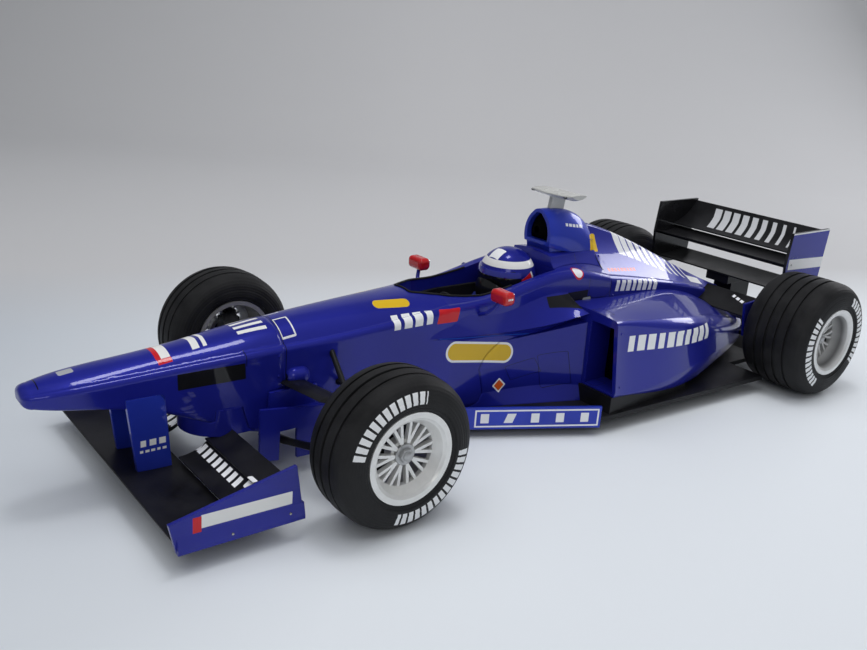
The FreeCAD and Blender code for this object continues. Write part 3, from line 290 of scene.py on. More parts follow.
def mark(colour, plane, centre, half, lean=0.0, slant=0.0, corner=0.05, facing=None, fold=1.0):
    along, across, straight = (Vector(v) for v in FACES[plane])
    where = along * centre[0] + across * centre[1]
    if plane == "lid":
        where += straight * straight.dot(LID_ORIGIN) + across * across.dot(LID_ORIGIN)
    turn, push = math.radians(lean), math.radians(slant)
    length_way = along * math.cos(turn) + across * math.sin(turn)
    width_way = across * math.cos(turn) - along * math.sin(turn)
    pushed = (length_way - width_way * math.tan(push)) * math.cos(push)
    return {"colour": colour, "Centre": where, "Along": pushed, "Across": width_way,
            "Facing": Vector(facing) if facing else straight, "Half length": half[0],
            "Half width": half[1], "Corner": corner, "Fold": fold}


def print_mask(tree, row):
    node = tree.nodes.new("ShaderNodeGroup")
    node.node_tree = print_group
    node.inputs["Hollow"].default_value = SOLID
    for name, value in row.items():
        if name != "colour":
            node.inputs[name].default_value = value
    return node.outputs["Mask"]


def block_row(colour, plane, start, stop, count, height, fill=0.72, slant=0.0, **more):
    """A row of plain blocks from start to stop, for the places where the real one is lettered."""
    ax, az = start
    bx, bz = stop
    length = math.hypot(bx - ax, bz - az)
    lean = math.degrees(math.atan2(az - bz, ax - bx))
    step = length / count
    rows = []
    for index in range(count):
        share = (index + 0.5) / count
        width = step * fill * (1.0 if index % 3 else 0.8) / 2
        centre = (ax + (bx - ax) * share, az + (bz - az) * share)
        rows.append(mark(colour, plane, centre, (width, height / 2), lean=lean, slant=slant, **more))
    return rows


WHITE, CREAM, BLACK = (0.93, 0.94, 0.96, 1), (0.88, 0.88, 0.86, 1), (0.008, 0.008, 0.01, 1)
YELLOW, RED, ORANGE = (0.78, 0.5, 0.015, 1), (0.62, 0.012, 0.02, 1), (0.85, 0.13, 0.02, 1)
GREY, SEAM, PALE = (0.42, 0.44, 0.47, 1), (0.002, 0.003, 0.02, 1), (0.6, 0.61, 0.63, 1)
print("nine print colours, from white to a dark seam line")

# %% [markdown]
# ## Paints and plastics
# The bodywork is a metallic blue under clear lacquer. Two layers tell that story: a metallic base with
# fine flake that sparkles, and a smooth coat that mirrors the room. Printed marks lie under the coat,
# so they switch the metal off but keep the gloss.

# %% Blue lacquer with printed marks
BLUE, DEEP_BLUE = (0.015, 0.021, 0.33, 1), (0.009, 0.012, 0.21, 1)
# The first blue on the next line is a lighter copy of the body blue: painted light, for pieces that catch
# more light than the rest.
PAINTED_LIT_BLUE, FLAKE_BLUE = (0.026, 0.055, 0.52, 1), (0.05, 0.08, 0.7, 1)
METAL_SHARE = 0.25       # how metallic the base is under its clear coat


def lacquer(name, marks=(), grooves=(), tint=BLUE):
    material, tree, shader = new_material(name)
    cloud = noise(tree, 0.035, 2.0)
    flake = noise(tree, 14.0, 1.0)
    colour = blend_colour(tree, remap(tree, cloud, 0.3, 0.7, 0.4, 1.0), DEEP_BLUE, tint)
    sparkle = remap(tree, flake, 0.62, 0.8, 0.0, 0.3)
    colour = blend_colour(tree, sparkle, colour, FLAKE_BLUE)
    bare = None
    for row in marks:
        mask = print_mask(tree, row)
        colour = blend_colour(tree, mask, colour, row["colour"])
        bare = mask if bare is None else calculate(tree, "MAXIMUM", bare, mask)
    height = calculate(tree, "MULTIPLY", noise(tree, 0.9, 2.0), 0.04)
    for row in grooves:
        mask = print_mask(tree, row)
        colour = blend_colour(tree, mask, colour, row["colour"])
        height = calculate(tree, "SUBTRACT", height, mask)
    tree.links.new(colour, shader.inputs["Base Color"])
    metal = METAL_SHARE if bare is None else remap(tree, bare, 0.0, 1.0, METAL_SHARE, 0.0)
    connect(tree, metal, shader.inputs["Metallic"])
    connect(tree, remap(tree, flake, 0.3, 0.7, 0.3, 0.4), shader.inputs["Roughness"])
    shader.inputs["Specular IOR Level"].default_value = 0.08
    shader.inputs["Coat Weight"].default_value = 0.7
    shader.inputs["Coat Roughness"].default_value = 0.04
    shader.inputs["Coat IOR"].default_value = 1.48
    rough_skin(tree, shader, height, 0.1, edge=0.35)
    return material


plain_blue = lacquer("blue lacquer")
print("made", plain_blue.name)

# %% [markdown]
# The wings, floor and suspension are moulded in black plastic. Moulded plastic is never evenly shiny:
# a fine grain breaks the highlight and handling leaves it a little patchy, so roughness wanders.

# %% Plastics, rubber and metals
def moulding(name, dark, light, rough=(0.3, 0.5), grain=2.2, depth=0.02, marks=(), coat=0.0,
             metallic=0.0, gloss=0.5, edge=0.25):
    material, tree, shader = new_material(name)
    patch = noise(tree, 0.12, 3.0)
    colour = blend_colour(tree, remap(tree, patch, 0.3, 0.7, 0.0, 1.0), dark, light)
    for row in marks:
        colour = blend_colour(tree, print_mask(tree, row), colour, row["colour"])
    tree.links.new(colour, shader.inputs["Base Color"])
    connect(tree, remap(tree, patch, 0.3, 0.7, *rough), shader.inputs["Roughness"])
    shader.inputs["Metallic"].default_value = metallic
    shader.inputs["Specular IOR Level"].default_value = gloss
    shader.inputs["Coat Weight"].default_value = coat
    shader.inputs["Coat Roughness"].default_value = 0.08
    rough_skin(tree, shader, noise(tree, grain, 2.0), depth, edge)
    return material


INK, COAL = (0.006, 0.006, 0.007, 1), (0.016, 0.016, 0.018, 1)
black_moulding = moulding("black moulding", INK, COAL, rough=(0.3, 0.46), gloss=0.22)
dull_black = moulding("dull black", INK, COAL, rough=(0.5, 0.7), depth=0.04, gloss=0.25)
pale_grey = moulding("pale grey", (0.5, 0.5, 0.47, 1), (0.6, 0.6, 0.57, 1), rough=(0.2, 0.32),
                     coat=0.4)
steel = moulding("bright steel", (0.4, 0.4, 0.41, 1), (0.55, 0.55, 0.56, 1), rough=(0.22, 0.35),
                 metallic=1.0)
print("plastics and metals:", [m.name for m in (black_moulding, dull_black, pale_grey, steel)])

# %% [markdown]
# ## The livery
# Every printed mark is listed here by the CAD piece that carries it. Keeping the list apart from the
# recipe makes the livery easy to edit: a stripe moves by changing two numbers. Where lettering stood
# there are plain blocks or blank plates. All numbers are millimetres in the model's frame.

# %% Marks on the nose
def pill(colour, rim_colour, plane, centre, half, lean=0.0, rim=0.45, **more):
    """A rounded label with a thin rim."""
    inner = (half[0] - rim, half[1] - rim)
    return [mark(rim_colour, plane, centre, half, lean=lean, corner=half[1] - 0.05, **more),
            mark(colour, plane, centre, inner, lean=lean, corner=inner[1] - 0.05, **more)]


NOSE_SEAM, COVER_SEAM = 70.45, -35.0     # x of the two joints between the painted castings
# The bright blue on the next line is a painted highlight for the ridge line on the tub, not a paint of its
# own.
RIDGE_HIGHLIGHT_BLUE = (0.02, 0.1, 0.6, 1)
ANY_WAY = (0, 0, 0)      # the facing of a mark that shows whichever way the skin turns
nose_marks = [mark(BLACK, SIDE, (88.1, 26.5), (7.7, 1.95), lean=-2.5, corner=0.25),
              mark(GREY, TOP, (117.4, 0.0), (1.6, 1.2), corner=0.5),
              mark(CREAM, TOP, (97.0, 0.0), (1.1, 3.9)),
              mark(RED, TOP, (98.6, 0.0), (0.6, 3.9)),
              mark(RED, TOP, (97.4, 4.5), (1.6, 0.6)),
              mark(CREAM, TOP, (89.6, 1.0), (0.85, 2.9), slant=6),
              mark(CREAM, TOP, (87.4, 1.0), (0.45, 2.9), slant=6),
              mark(CREAM, TOP, (76.0, 3.4), (3.6, 0.55), lean=-4),
              mark(CREAM, TOP, (76.0, 1.2), (3.6, 0.55), lean=-2)]
nose_grooves = [mark(SEAM, SIDE, (80.2, 29.6), (0.09, 1.7)),
                mark(SEAM, TOP, (123.6, 0.0), (0.12, 3.0))]
print("marks on the nose:", len(nose_marks))

# %% [markdown]
# The tub carries the long pill and the row of blocks beside the cockpit. Part of the pill runs on
# over the swelling side panel, which is a separate piece, so both pieces take the same rows and each
# shows the part that falls on it.

# %% Marks on the tub and its side panels
flank_pill = pill(YELLOW, WHITE, SIDE, (13.9, 21.6), (11.4, 2.9), lean=9.0, rim=0.62)
# The thin bright blue line along the ridge above the pill is a painted highlight on the moulded step.
tub_marks = [mark(RIDGE_HIGHLIGHT_BLUE, SIDE, (12.4, 25.9), (15.2, 0.13), lean=5.0),
             mark(YELLOW, TOP, (38.5, 5.9), (5.0, 1.4), lean=-12, corner=1.3)]
tub_marks += block_row(WHITE, SIDE, (41.5, 32.7), (28.9, 33.2), 4, 3.1, slant=-8)
tub_marks += [mark(RED, SIDE, (24.7, 33.1), (3.1, 1.8), lean=0.0, slant=-14, corner=0.3)]
tub_marks += flank_pill
tub_marks += [mark(BLACK, SIDE, (-17.0, 33.0), (8.5, 1.4), corner=0.25)]
tub_grooves = [dict(mark(WHITE, TOP, (68.2, 4.5), (1.95, 2.8), corner=0.3), Hollow=0.4),
               mark(SEAM, SIDE, (NOSE_SEAM - 0.35, 25.0), (0.1, 12.0), facing=ANY_WAY)]
side_panel_marks = flank_pill + [mark(WHITE, SIDE, (6.7, 11.0), (1.55, 1.55), lean=45, corner=0.3),
                                 mark(ORANGE, SIDE, (6.7, 11.0), (1.15, 1.15), lean=45, corner=0.2)]
side_panel_grooves = [mark(SEAM, SIDE, (-0.6, 14.9), (4.6, 2.3), lean=-10, slant=18, corner=0.3),
                      mark(SEAM, SIDE, (-9.9, 14.2), (4.2, 4.9), lean=-8, corner=0.4)]
side_panel_grooves = [dict(groove, Hollow=0.12) for groove in side_panel_grooves]
headrest_marks = pill(WHITE, RED, "lid", (-21.3, 0.0), (2.2, 2.2), rim=0.45)
headrest_marks += pill(GREY, BLACK, "lid", (-25.2, 6.4), (1.9, 0.75), rim=0.2)
tub_marks += headrest_marks
print("marks on the tub:", len(tub_marks), "and its panels:", len(side_panel_marks))

# %% [markdown]
# The stripes on the engine cover start wide and get narrower towards the tail, and each leans back a
# little more than the one before. A short loop gives every stripe its place, width and lean. Left and
# right fold together, so they meet in arrows on the spine.

# %% Marks on the engine cover
def between(colour, first, second, facing, corner=0.05, fold=1.0):
    """A four-sided mark between two pairs of lines, each given as (direction across, low, high)."""
    across_one, across_two = Vector(first[0]), Vector(second[0])
    third = across_one.cross(across_two)
    from_lines = Matrix((across_one, across_two, third)).inverted()
    middles = Vector(((first[1] + first[2]) / 2, (second[1] + second[2]) / 2, 0))
    return {"colour": colour, "Centre": from_lines @ middles,
            "Along": across_one.normalized(), "Across": across_two.normalized(),
            "Half length": (first[2] - first[1]) / 2 / across_one.length,
            "Half width": (second[2] - second[1]) / 2 / across_two.length,
            "Facing": Vector(facing), "Corner": corner, "Fold": fold}


def spine_stripes(count, start, lower_edge):
    """Stripes that sweep back from the spine; they end on a line low on the flank."""
    rows = []
    for index in range(count):
        front = start - 3.5 * index - 0.05 * index * index
        white = 3.4 - 0.25 * index
        lean = 0.45 + 0.12 * index
        edge = lower_edge - 0.35 * max(0, index - 6)
        rows.append(between(WHITE, ((1, lean, 0), front - white, front), ((0, 1, 0), -edge, edge),
                            (0, 0, 1)))
    return rows


cover_marks = spine_stripes(10, -46.2, 4.6)
cover_marks += [mark(WHITE, TOP, (-90.7, 2.9), (4.4, 1.2), lean=8, corner=0.3)]
cover_marks += block_row(WHITE, SIDE, (-37.2, 34.0), (-61.0, 30.9), 8, 3.3, slant=-5)
cover_marks += block_row(RED, SIDE, (-37.2, 38.0), (-53.3, 35.8), 9, 0.8, fill=0.8)
cover_marks += [mark(YELLOW, SIDE, (-36.6, 45.0), (1.0, 2.4), lean=8, corner=0.6)]
cover_grooves = [mark(SEAM, SIDE, (COVER_SEAM - 0.1, 38.0), (0.16, 20.0), facing=ANY_WAY)]
airbox_marks = block_row(WHITE, SIDE, (-22.4, 51.8), (-30.6, 50.4), 5, 0.8, fill=0.8)
airbox_marks += [mark(YELLOW, SIDE, (-34.6, 45.2), (0.9, 2.4), lean=8, corner=0.6)]
headrest_grooves = [dict(mark(SEAM, SIDE, (-30.6, 39.0), (4.9, 7.6), corner=3.1), Hollow=0.14)]
tub_grooves += headrest_grooves
print("marks on the cover:", len(cover_marks), "and airbox:", len(airbox_marks))

# %% [markdown]
# The sidepods, the low strips beside the tub and the front plates repeat the block rows. The strip
# stands turned to the car's line, so its marks get a plane of their own that is turned with it.

# %% Marks on the pods, strips and plates
pod_marks = block_row(WHITE, SIDE, (-21.5, 24.7), (-62.6, 21.7), 10, 4.4, fill=0.74, slant=-4)
# The darker blue over the front of each pod, around its inlet, is painted shade in the mouth of the duct.
pod_marks.append(between(DEEP_BLUE, ((1, 0, 0), -28.0, -17.4), ((0, 1, 0), -29.0, 29.0), (0, 1, 0)))
pod_grooves = [dict(mark(SEAM, TOP, (-19.6, 25.8), (2.3, 2.5), corner=0.8), Hollow=0.2)]
strip_marks = [dict(mark(WHITE, "strip", (-9.25, 5.7), (17.4, 2.5), corner=0.1), Hollow=0.45)]
for index in range(5):
    strip_marks.append(mark(WHITE, "strip", (5.4 - 7.0 * index, 5.75), (1.15, 1.35),
                            slant=-20 if index == 1 else 0, corner=0.15))
pylon_marks = block_row(CREAM, SIDE, (104.8, 13.1), (98.3, 13.1), 3, 1.5, fill=0.7)
pylon_marks += block_row(CREAM, SIDE, (104.8, 11.2), (98.3, 11.2), 5, 0.6, fill=0.7)
tip_plate_marks = [mark(CREAM, SIDE, (94.4, 10.2), (10.0, 1.45), lean=1.0, corner=0.2),
                   mark(RED, SIDE, (105.2, 9.9), (0.9, 1.7), lean=1.0)]
print("marks on pods, strips and plates:", len(pod_marks) + len(strip_marks) + len(tip_plate_marks))

# %% [markdown]
# The wings are black with light stripes, and their end plates change colour in bands. The stripes on
# the rear flap bend where they meet, so two sets of bars share one line. The outer side of a rear end
# plate is blue above and below and has a blank white band; its inner side stays black.

# %% Marks on the wings
def wing_stripes(colour, count, first, pitch, width, chord, lean, meet, fold=1.0):
    """Bars across a flap between the two x of chord. They are placed where they cross x = meet."""
    rows = []
    for index in range(count):
        middle_line = first + index * pitch - lean * meet
        wide = width[0] - width[1] * index - width[2] * index * index
        rows.append(between(colour, ((-lean, 1, 0), middle_line - wide / 2, middle_line + wide / 2),
                            ((1, 0, 0), *chord), (0, 0, 1), fold=fold))
    return rows


front_flap_marks = wing_stripes(WHITE, 8, 8.6, 2.55, (1.6, 0.0, 0.0), (89.5, 91.8), 0.15, 91.8)
front_flap_marks += [mark(WHITE, TOP, (89.4, 29.8), (1.1, 1.4), corner=0.4)]
front_flap_marks += [mark(WHITE, TOP, (90.4, 6.4), (1.6, 0.9), lean=30, corner=0.1)]
FLAP_JOIN, FLAP_WIDTHS = -122.4, (3.0, 0.04, 0.03)
flap_marks = []
for lean, chord in ((0.5, (-125.4, FLAP_JOIN)), (0.27, (FLAP_JOIN, -117.0))):
    flap_marks += wing_stripes(PALE, 9, -14.05, 3.95, FLAP_WIDTHS, chord, lean, FLAP_JOIN, fold=0.0)
plate_lines = ((1, 0, 0), -128, -103)
end_plate_marks = [between(BLUE, plate_lines, ((0, 0, 1), 20.0, 48.0), (0, 1, 0)),
                   between(WHITE, ((1, 0, 0), -128, -105.4), ((-0.045, 0, 1), 39.7, 43.2), (0, 1, 0)),
                   between(WHITE, plate_lines, ((0, 0, 1), 46.65, 48.0), (0, 1, 0))]
winglet_marks = block_row(WHITE, TOP, (-93.2, 17.0), (-90.6, 26.6), 5, 0.9)
mirror_marks = block_row(WHITE, SIDE, (12.9, 38.3), (11.1, 38.3), 3, 0.5)
print("marks on wings:", len(front_flap_marks) + len(flap_marks) + len(end_plate_marks))

# %% [markdown]
# The helmet is a generic one: a blue shell with a pale band, a white patch on top, and a dark visor
# that hides whoever sits inside. Bands at constant height are the simplest mark of all.

# %% Marks on the helmet
helmet_middle = middle("helmet") / MM
crown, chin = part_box("helmet")[1].z / MM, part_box("helmet")[0].z / MM


def level_band(colour, low, high, tilt=0.0):
    """A band between two levels, all the way round."""
    return between(colour, ((1, 0, 0), -40, 40), ((tilt, 0, 1), low, high), ANY_WAY)


eye_level = helmet_middle.z
helmet_marks = [level_band(CREAM, 41.0, 42.8),
                mark(WHITE, TOP, (-1.7, 0.0), (1.6, 1.9), corner=0.15),
                mark(WHITE, SIDE, (-6.4, 37.4), (2.9, 1.6), lean=-28, corner=0.1),
                mark(RED, SIDE, (-6.4, 37.4), (2.3, 1.6), lean=-28, corner=0.1),
                mark(BLACK, SIDE, (4.6, 35.0), (6.6, 3.3), lean=-8, corner=1.2, facing=ANY_WAY),
                level_band(BLACK, chin - 1, 33.0)]
helmet_marks += pill(GREY, BLACK, SIDE, (-2.2, 39.4), (1.0, 1.0), rim=0.22)
visor_marks = [level_band(BLUE, eye_level + 0.6, crown)]
print("helmet from z %.1f to %.1f, marks: %d" % (chin, crown, len(helmet_marks)))

# %% [markdown]
# ## Dressing the CAD pieces
# Each CAD node keeps its shape and gets a finish in its material slots. A table says which finish
# goes where, and a check makes sure that no piece was forgotten. The radiators get their own recipe:
# thin fins, drawn by a wave texture that pushes the gaps in and paints them darker as painted shade.

# %% Radiator fins, visor, suit and cast grey
def finned(name):
    material, tree, shader = new_material(name)
    place = tree.nodes.new("ShaderNodeTexCoord").outputs["Object"]
    wave = tree.nodes.new("ShaderNodeTexWave")
    wave.bands_direction = "Z"
    wave.inputs["Scale"].default_value = 0.32 / MM
    tree.links.new(place, wave.inputs["Vector"])
    fins = wave.outputs["Fac"]
    # The gaps between the fins are painted darker: painted shade between them.
    tree.links.new(blend_colour(tree, fins, (0.004, 0.004, 0.005, 1), (0.05, 0.05, 0.055, 1)),
                   shader.inputs["Base Color"])
    shader.inputs["Metallic"].default_value = 0.6
    connect(tree, remap(tree, fins, 0.0, 1.0, 0.7, 0.4), shader.inputs["Roughness"])
    rough_skin(tree, shader, fins, 0.2)
    return material


radiator_fins = finned("radiator fins")
visor_finish = moulding("visor tint", (0.004, 0.004, 0.005, 1), (0.012, 0.012, 0.014, 1), rough=(0.05, 0.09),
                        coat=1.0, depth=0.002, marks=visor_marks)
suit_blue = moulding("racing suit", (0.01, 0.02, 0.2, 1), (0.02, 0.035, 0.28, 1), rough=(0.7, 0.9),
                     grain=5.0, depth=0.12)
oxide_grey = moulding("cast grey", (0.1, 0.1, 0.105, 1), (0.16, 0.16, 0.165, 1), rough=(0.35, 0.5),
                      metallic=0.7)
print("special finishes:", radiator_fins.name, visor_finish.name, suit_blue.name, oxide_grey.name)

# %% [markdown]
# The rims are pale paint with some metal powder in it, so they are a little metallic but soft. Deep in
# the barrel painted shade darkens them, the most behind the rear spokes, which makes them stand out.
# How deep and how far out a point lies is measured from the wheel's own axle.

# %% Rim paint
def rim_paint(name, pale, dark, radii, axle, depths):
    """Pale paint with painted shade: dark between two radii, and only deeper than the two depths."""
    material, tree, shader = new_material(name)
    _, _, radius, depth = round_axle(tree, axle)
    out = remap(tree, radius, *radii, 0.0, 1.0)
    deep = remap(tree, depth, axle.y + depths[0], axle.y + depths[1], 1.0, 0.0)
    shade = calculate(tree, "MULTIPLY", out, deep)
    patch = noise(tree, 0.5, 3.0)
    worn = [part * 0.86 for part in pale[:3]] + [1]
    light = blend_colour(tree, remap(tree, patch, 0.3, 0.7, 0.0, 0.5), pale, worn)
    tree.links.new(blend_colour(tree, shade, light, dark), shader.inputs["Base Color"])
    shader.inputs["Metallic"].default_value = 0.35
    connect(tree, remap(tree, patch, 0.3, 0.7, 0.28, 0.42), shader.inputs["Roughness"])
    shader.inputs["Coat Weight"].default_value = 0.3
    rough_skin(tree, shader, noise(tree, 3.0, 2.0), 0.015)
    return material


# The second colour of each rim is its painted shade deep in the barrel.
front_rim_paint = rim_paint("front rim paint", (0.86, 0.86, 0.84, 1), (0.42, 0.41, 0.39, 1),
                            (7.5, 9.0), front_axle, (3.0, 5.5))
rear_rim_paint = rim_paint("rear rim paint", (0.8, 0.8, 0.79, 1), (0.1, 0.1, 0.105, 1),
                           (7.0, 8.2), rear_axle, (8.6, 10.7))
print("rim paints:", front_rim_paint.name, rear_rim_paint.name)

# %% [markdown]
# Now the table itself. Painted castings get lacquer with their own marks, mouldings that carry no print
# share one black, and left and right pieces share a finish because the marks fold. The CAD tyres get
# a plain finish, since grooved ones are shown in their place.

# %% Dress every CAD node
blue_pieces = {
    "nose_cone": lacquer("nose lacquer", nose_marks, nose_grooves),
    "tub": lacquer("tub lacquer", tub_marks, tub_grooves),
    "engine_cover": lacquer("cover lacquer", cover_marks, cover_grooves),
    "sidepod_left": lacquer("pod lacquer", pod_marks, pod_grooves),
    # The airbox takes the lighter blue: a painted highlight where it faces the lamps.
    "airbox": lacquer("airbox lacquer", airbox_marks, tint=PAINTED_LIT_BLUE),
    "headrest": lacquer("headrest lacquer", headrest_marks, headrest_grooves),
    "side_panels": lacquer("side panel lacquer", side_panel_marks, side_panel_grooves),
    "front_endplate_left": lacquer("tip plate lacquer", tip_plate_marks),
    "helmet": lacquer("helmet lacquer", helmet_marks)}
blue_pieces["sidepod_right"] = blue_pieces["sidepod_left"]
blue_pieces["front_endplate_right"] = blue_pieces["front_endplate_left"]
finishes = dict(blue_pieces)
# Pylons and strips take the lighter blue too: painted light on faces that catch more light.
finishes["wing_pylons"] = lacquer("pylon lacquer", pylon_marks, tint=PAINTED_LIT_BLUE)
finishes["barge_strips"] = lacquer("strip lacquer", strip_marks, tint=PAINTED_LIT_BLUE)
for name in ("mirror_stalks", "rear_winglet_plates", "turning_vanes", "nose_keel"):
    finishes[name] = plain_blue
for name in ("floor", "plank", "front_wing_plane", "rear_wing_main", "rear_wing_beam", "diffuser",
             "gearbox", "front_upper_arms", "front_lower_arms", "front_pushrods", "track_rod",
             "rear_upper_arms", "rear_lower_arms", "knuckle_left", "knuckle_right", "rear_uprights"):
    finishes[name] = black_moulding
for name in ("cockpit_liner", "steering_wheel"):
    finishes[name] = dull_black
wing_black = {"front_wing_flaps": front_flap_marks, "rear_wing_flap": flap_marks,
              "rear_winglets": winglet_marks}
for name, marks in wing_black.items():
    finishes[name] = moulding(name.replace("_", " "), INK, COAL, rough=(0.3, 0.46), marks=marks,
                              gloss=0.2)
end_plate_finish = moulding("end plate", INK, COAL, rough=(0.2, 0.3), marks=end_plate_marks, coat=0.3,
                            gloss=0.2)
finishes.update({
    "rear_endplate_left": end_plate_finish, "rear_endplate_right": end_plate_finish,
    "mirror_housings": moulding("mirror red", (0.5, 0.008, 0.012, 1), (0.62, 0.016, 0.02, 1),
                                rough=(0.12, 0.2), coat=0.4, marks=mirror_marks),
    "camera_pod": pale_grey, "visor": visor_finish, "driver_torso": suit_blue, "radiators": radiator_fins,
    "driveshafts": oxide_grey})
for side in ("left", "right"):
    finishes["rim_front_" + side] = front_rim_paint
    finishes["rim_rear_" + side] = rear_rim_paint
    for end in ("front", "rear"):
        finishes["tyre_%s_%s" % (end, side)] = dull_black
missing = sorted(set(nodes) - set(finishes))
for name, finish in finishes.items():
    for slot in nodes[name].material_slots:
        slot.material = finish
print("dressed", len(finishes), "CAD pieces; missing:", missing)

# %% [markdown]
# ## The nose tip
# The CAD nose ends in a flat face. The real casting is rounded there. The nose's own mesh is copied
# and cut off a little behind the tip. From the open ring, smaller and smaller rings step forward along
# a quarter circle, which closes it with a dome of the same outline and length. The rings are built
# one corner after another, so the mesh comes out the same on every run.

# %% Rounded nose
def in_order(edges):
    """The corners of one closed ring of edges, each next to the one before."""
    edge, corners = edges[0], [edges[0].verts[0]]
    for _ in edges[1:]:
        corners.append(edge.other_vert(corners[-1]))
        edge = next(other for other in corners[-1].link_edges if other in edges and other != edge)
    return corners


def rounded_nose(depth=2.2, steps=8, smallest=0.3):
    """The CAD nose with a dome from depth behind its tip; smallest is the dome's last share of size."""
    shape = bmesh.new()
    shape.from_mesh(nodes["nose_cone"].data)
    bmesh.ops.remove_doubles(shape, verts=shape.verts, dist=0.001 * MM)
    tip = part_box("nose_cone")[1].x / MM
    cut = bmesh.ops.bisect_plane(shape, geom=shape.verts[:] + shape.edges[:] + shape.faces[:],
                                 plane_co=Vector(((tip - depth) * MM, 0, 0)), plane_no=(1, 0, 0),
                                 clear_outer=True)
    ring = in_order([item for item in cut["geom_cut"] if isinstance(item, bmesh.types.BMEdge)])
    middle_z = sum(corner.co.z for corner in ring) / len(ring)
    for step in range(1, steps + 1):
        turn = math.radians(90) * step / steps
        before = turn - math.radians(90) / steps
        share = ((smallest + (1 - smallest) * math.cos(turn)) /
                 (smallest + (1 - smallest) * math.cos(before)))
        x = (tip - depth + depth * math.sin(turn)) * MM
        smaller = [shape.verts.new((x, corner.co.y * share, middle_z + (corner.co.z - middle_z) * share))
                   for corner in ring]
        join_rings(shape, ring, smaller)
        ring = smaller
    shape.faces.new(ring)
    return close_shape(shape, "rounded nose")


nose_shell = mesh_piece("nose_shell", rounded_nose(), finishes["nose_cone"], "chassis")
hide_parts("nose_cone")
print("rounded nose:", len(nose_shell.data.polygons), "faces")

# %% [markdown]
# ## Tyres
# The CAD tyre is smooth. The shown one is a lathe job: one outline, spun round the axle. The outline
# is easiest to write from the bead outwards for one half and then mirrored. The grooves are just
# deeper stretches of the same line, and the ribs on the sidewall are small steps.

# %% Meshes from a spun outline
def spin(outline, axle, steps):
    """A closed outline of (y, radius) rows, in millimetres, turned round an axle."""
    shape = bmesh.new()
    rings = []
    for y, radius in outline:
        ring = []
        for step in range(steps):
            turn = math.tau * step / steps
            ring.append(shape.verts.new(Vector((axle.x + radius * math.cos(turn), y,
                                                axle.z + radius * math.sin(turn))) * MM))
        rings.append(ring)
    for one, two in zip(rings, rings[1:] + rings[:1]):
        join_rings(shape, one, two)
    return close_shape(shape, "spun")


def tyre_outline(centre_y, width, radius, grooves, bead=10.8, groove_width=0.9, groove_depth=0.55):
    """Half a tyre from bead to shoulder, the grooved tread, then the other half."""
    half_width, shoulder = width / 2, 4.6
    side = [(half_width - 1.25, bead), (half_width - 0.5, bead), (half_width - 0.35, bead + 0.35),
            (half_width - 0.35, bead + 0.8), (half_width - 0.1, bead + 1.0), (half_width, radius - 4.6),
            (half_width - 0.12, radius - 4.3), (half_width - 0.22, radius - 3.9)]
    for step in range(1, 9):
        turn = math.radians(90) * step / 8
        side.append((half_width - 0.22 - (shoulder - 0.22) * (1 - math.cos(turn)),
                     radius - 3.9 + (3.9 - 0.22) * math.sin(turn)))
    flat = half_width - shoulder
    tread = []
    for index in range(grooves):
        y = -flat + 2 * flat * (index + 0.5) / grooves if grooves > 3 else (index - 1) * flat * 0.95
        top = radius - 0.22 * (y / flat) ** 2
        lip = groove_width / 2
        tread += [(y - lip, top), (y - lip + 0.08, top - groove_depth), (y + lip - 0.08, top - groove_depth),
                  (y + lip, top)]
    left = [(-y, r) for y, r in side]
    points = left + tread + side[::-1]
    return [(centre_y + y, r) for y, r in points]


#   columns: end, axle, width, radius, grooves, arcs of print as (middle, half width) in degrees
TYRES = (("front", front_axle, 16.0, 17.8, 3, ((57, 45), (-126, 50))),
         ("rear", rear_axle, 22.7, 18.4, 4, ((-10, 50), (165, 50))))
print("corners in each outline:", [len(tyre_outline(0, *row[2:5])) for row in TYRES])

# %% [markdown]
# Rubber is matte but not even, and a wall carries fine moulded rings. The white sidewall print is two
# arcs of plain blocks. They are worked out from the distance and the angle round the axle, so they
# can't stretch or shear.

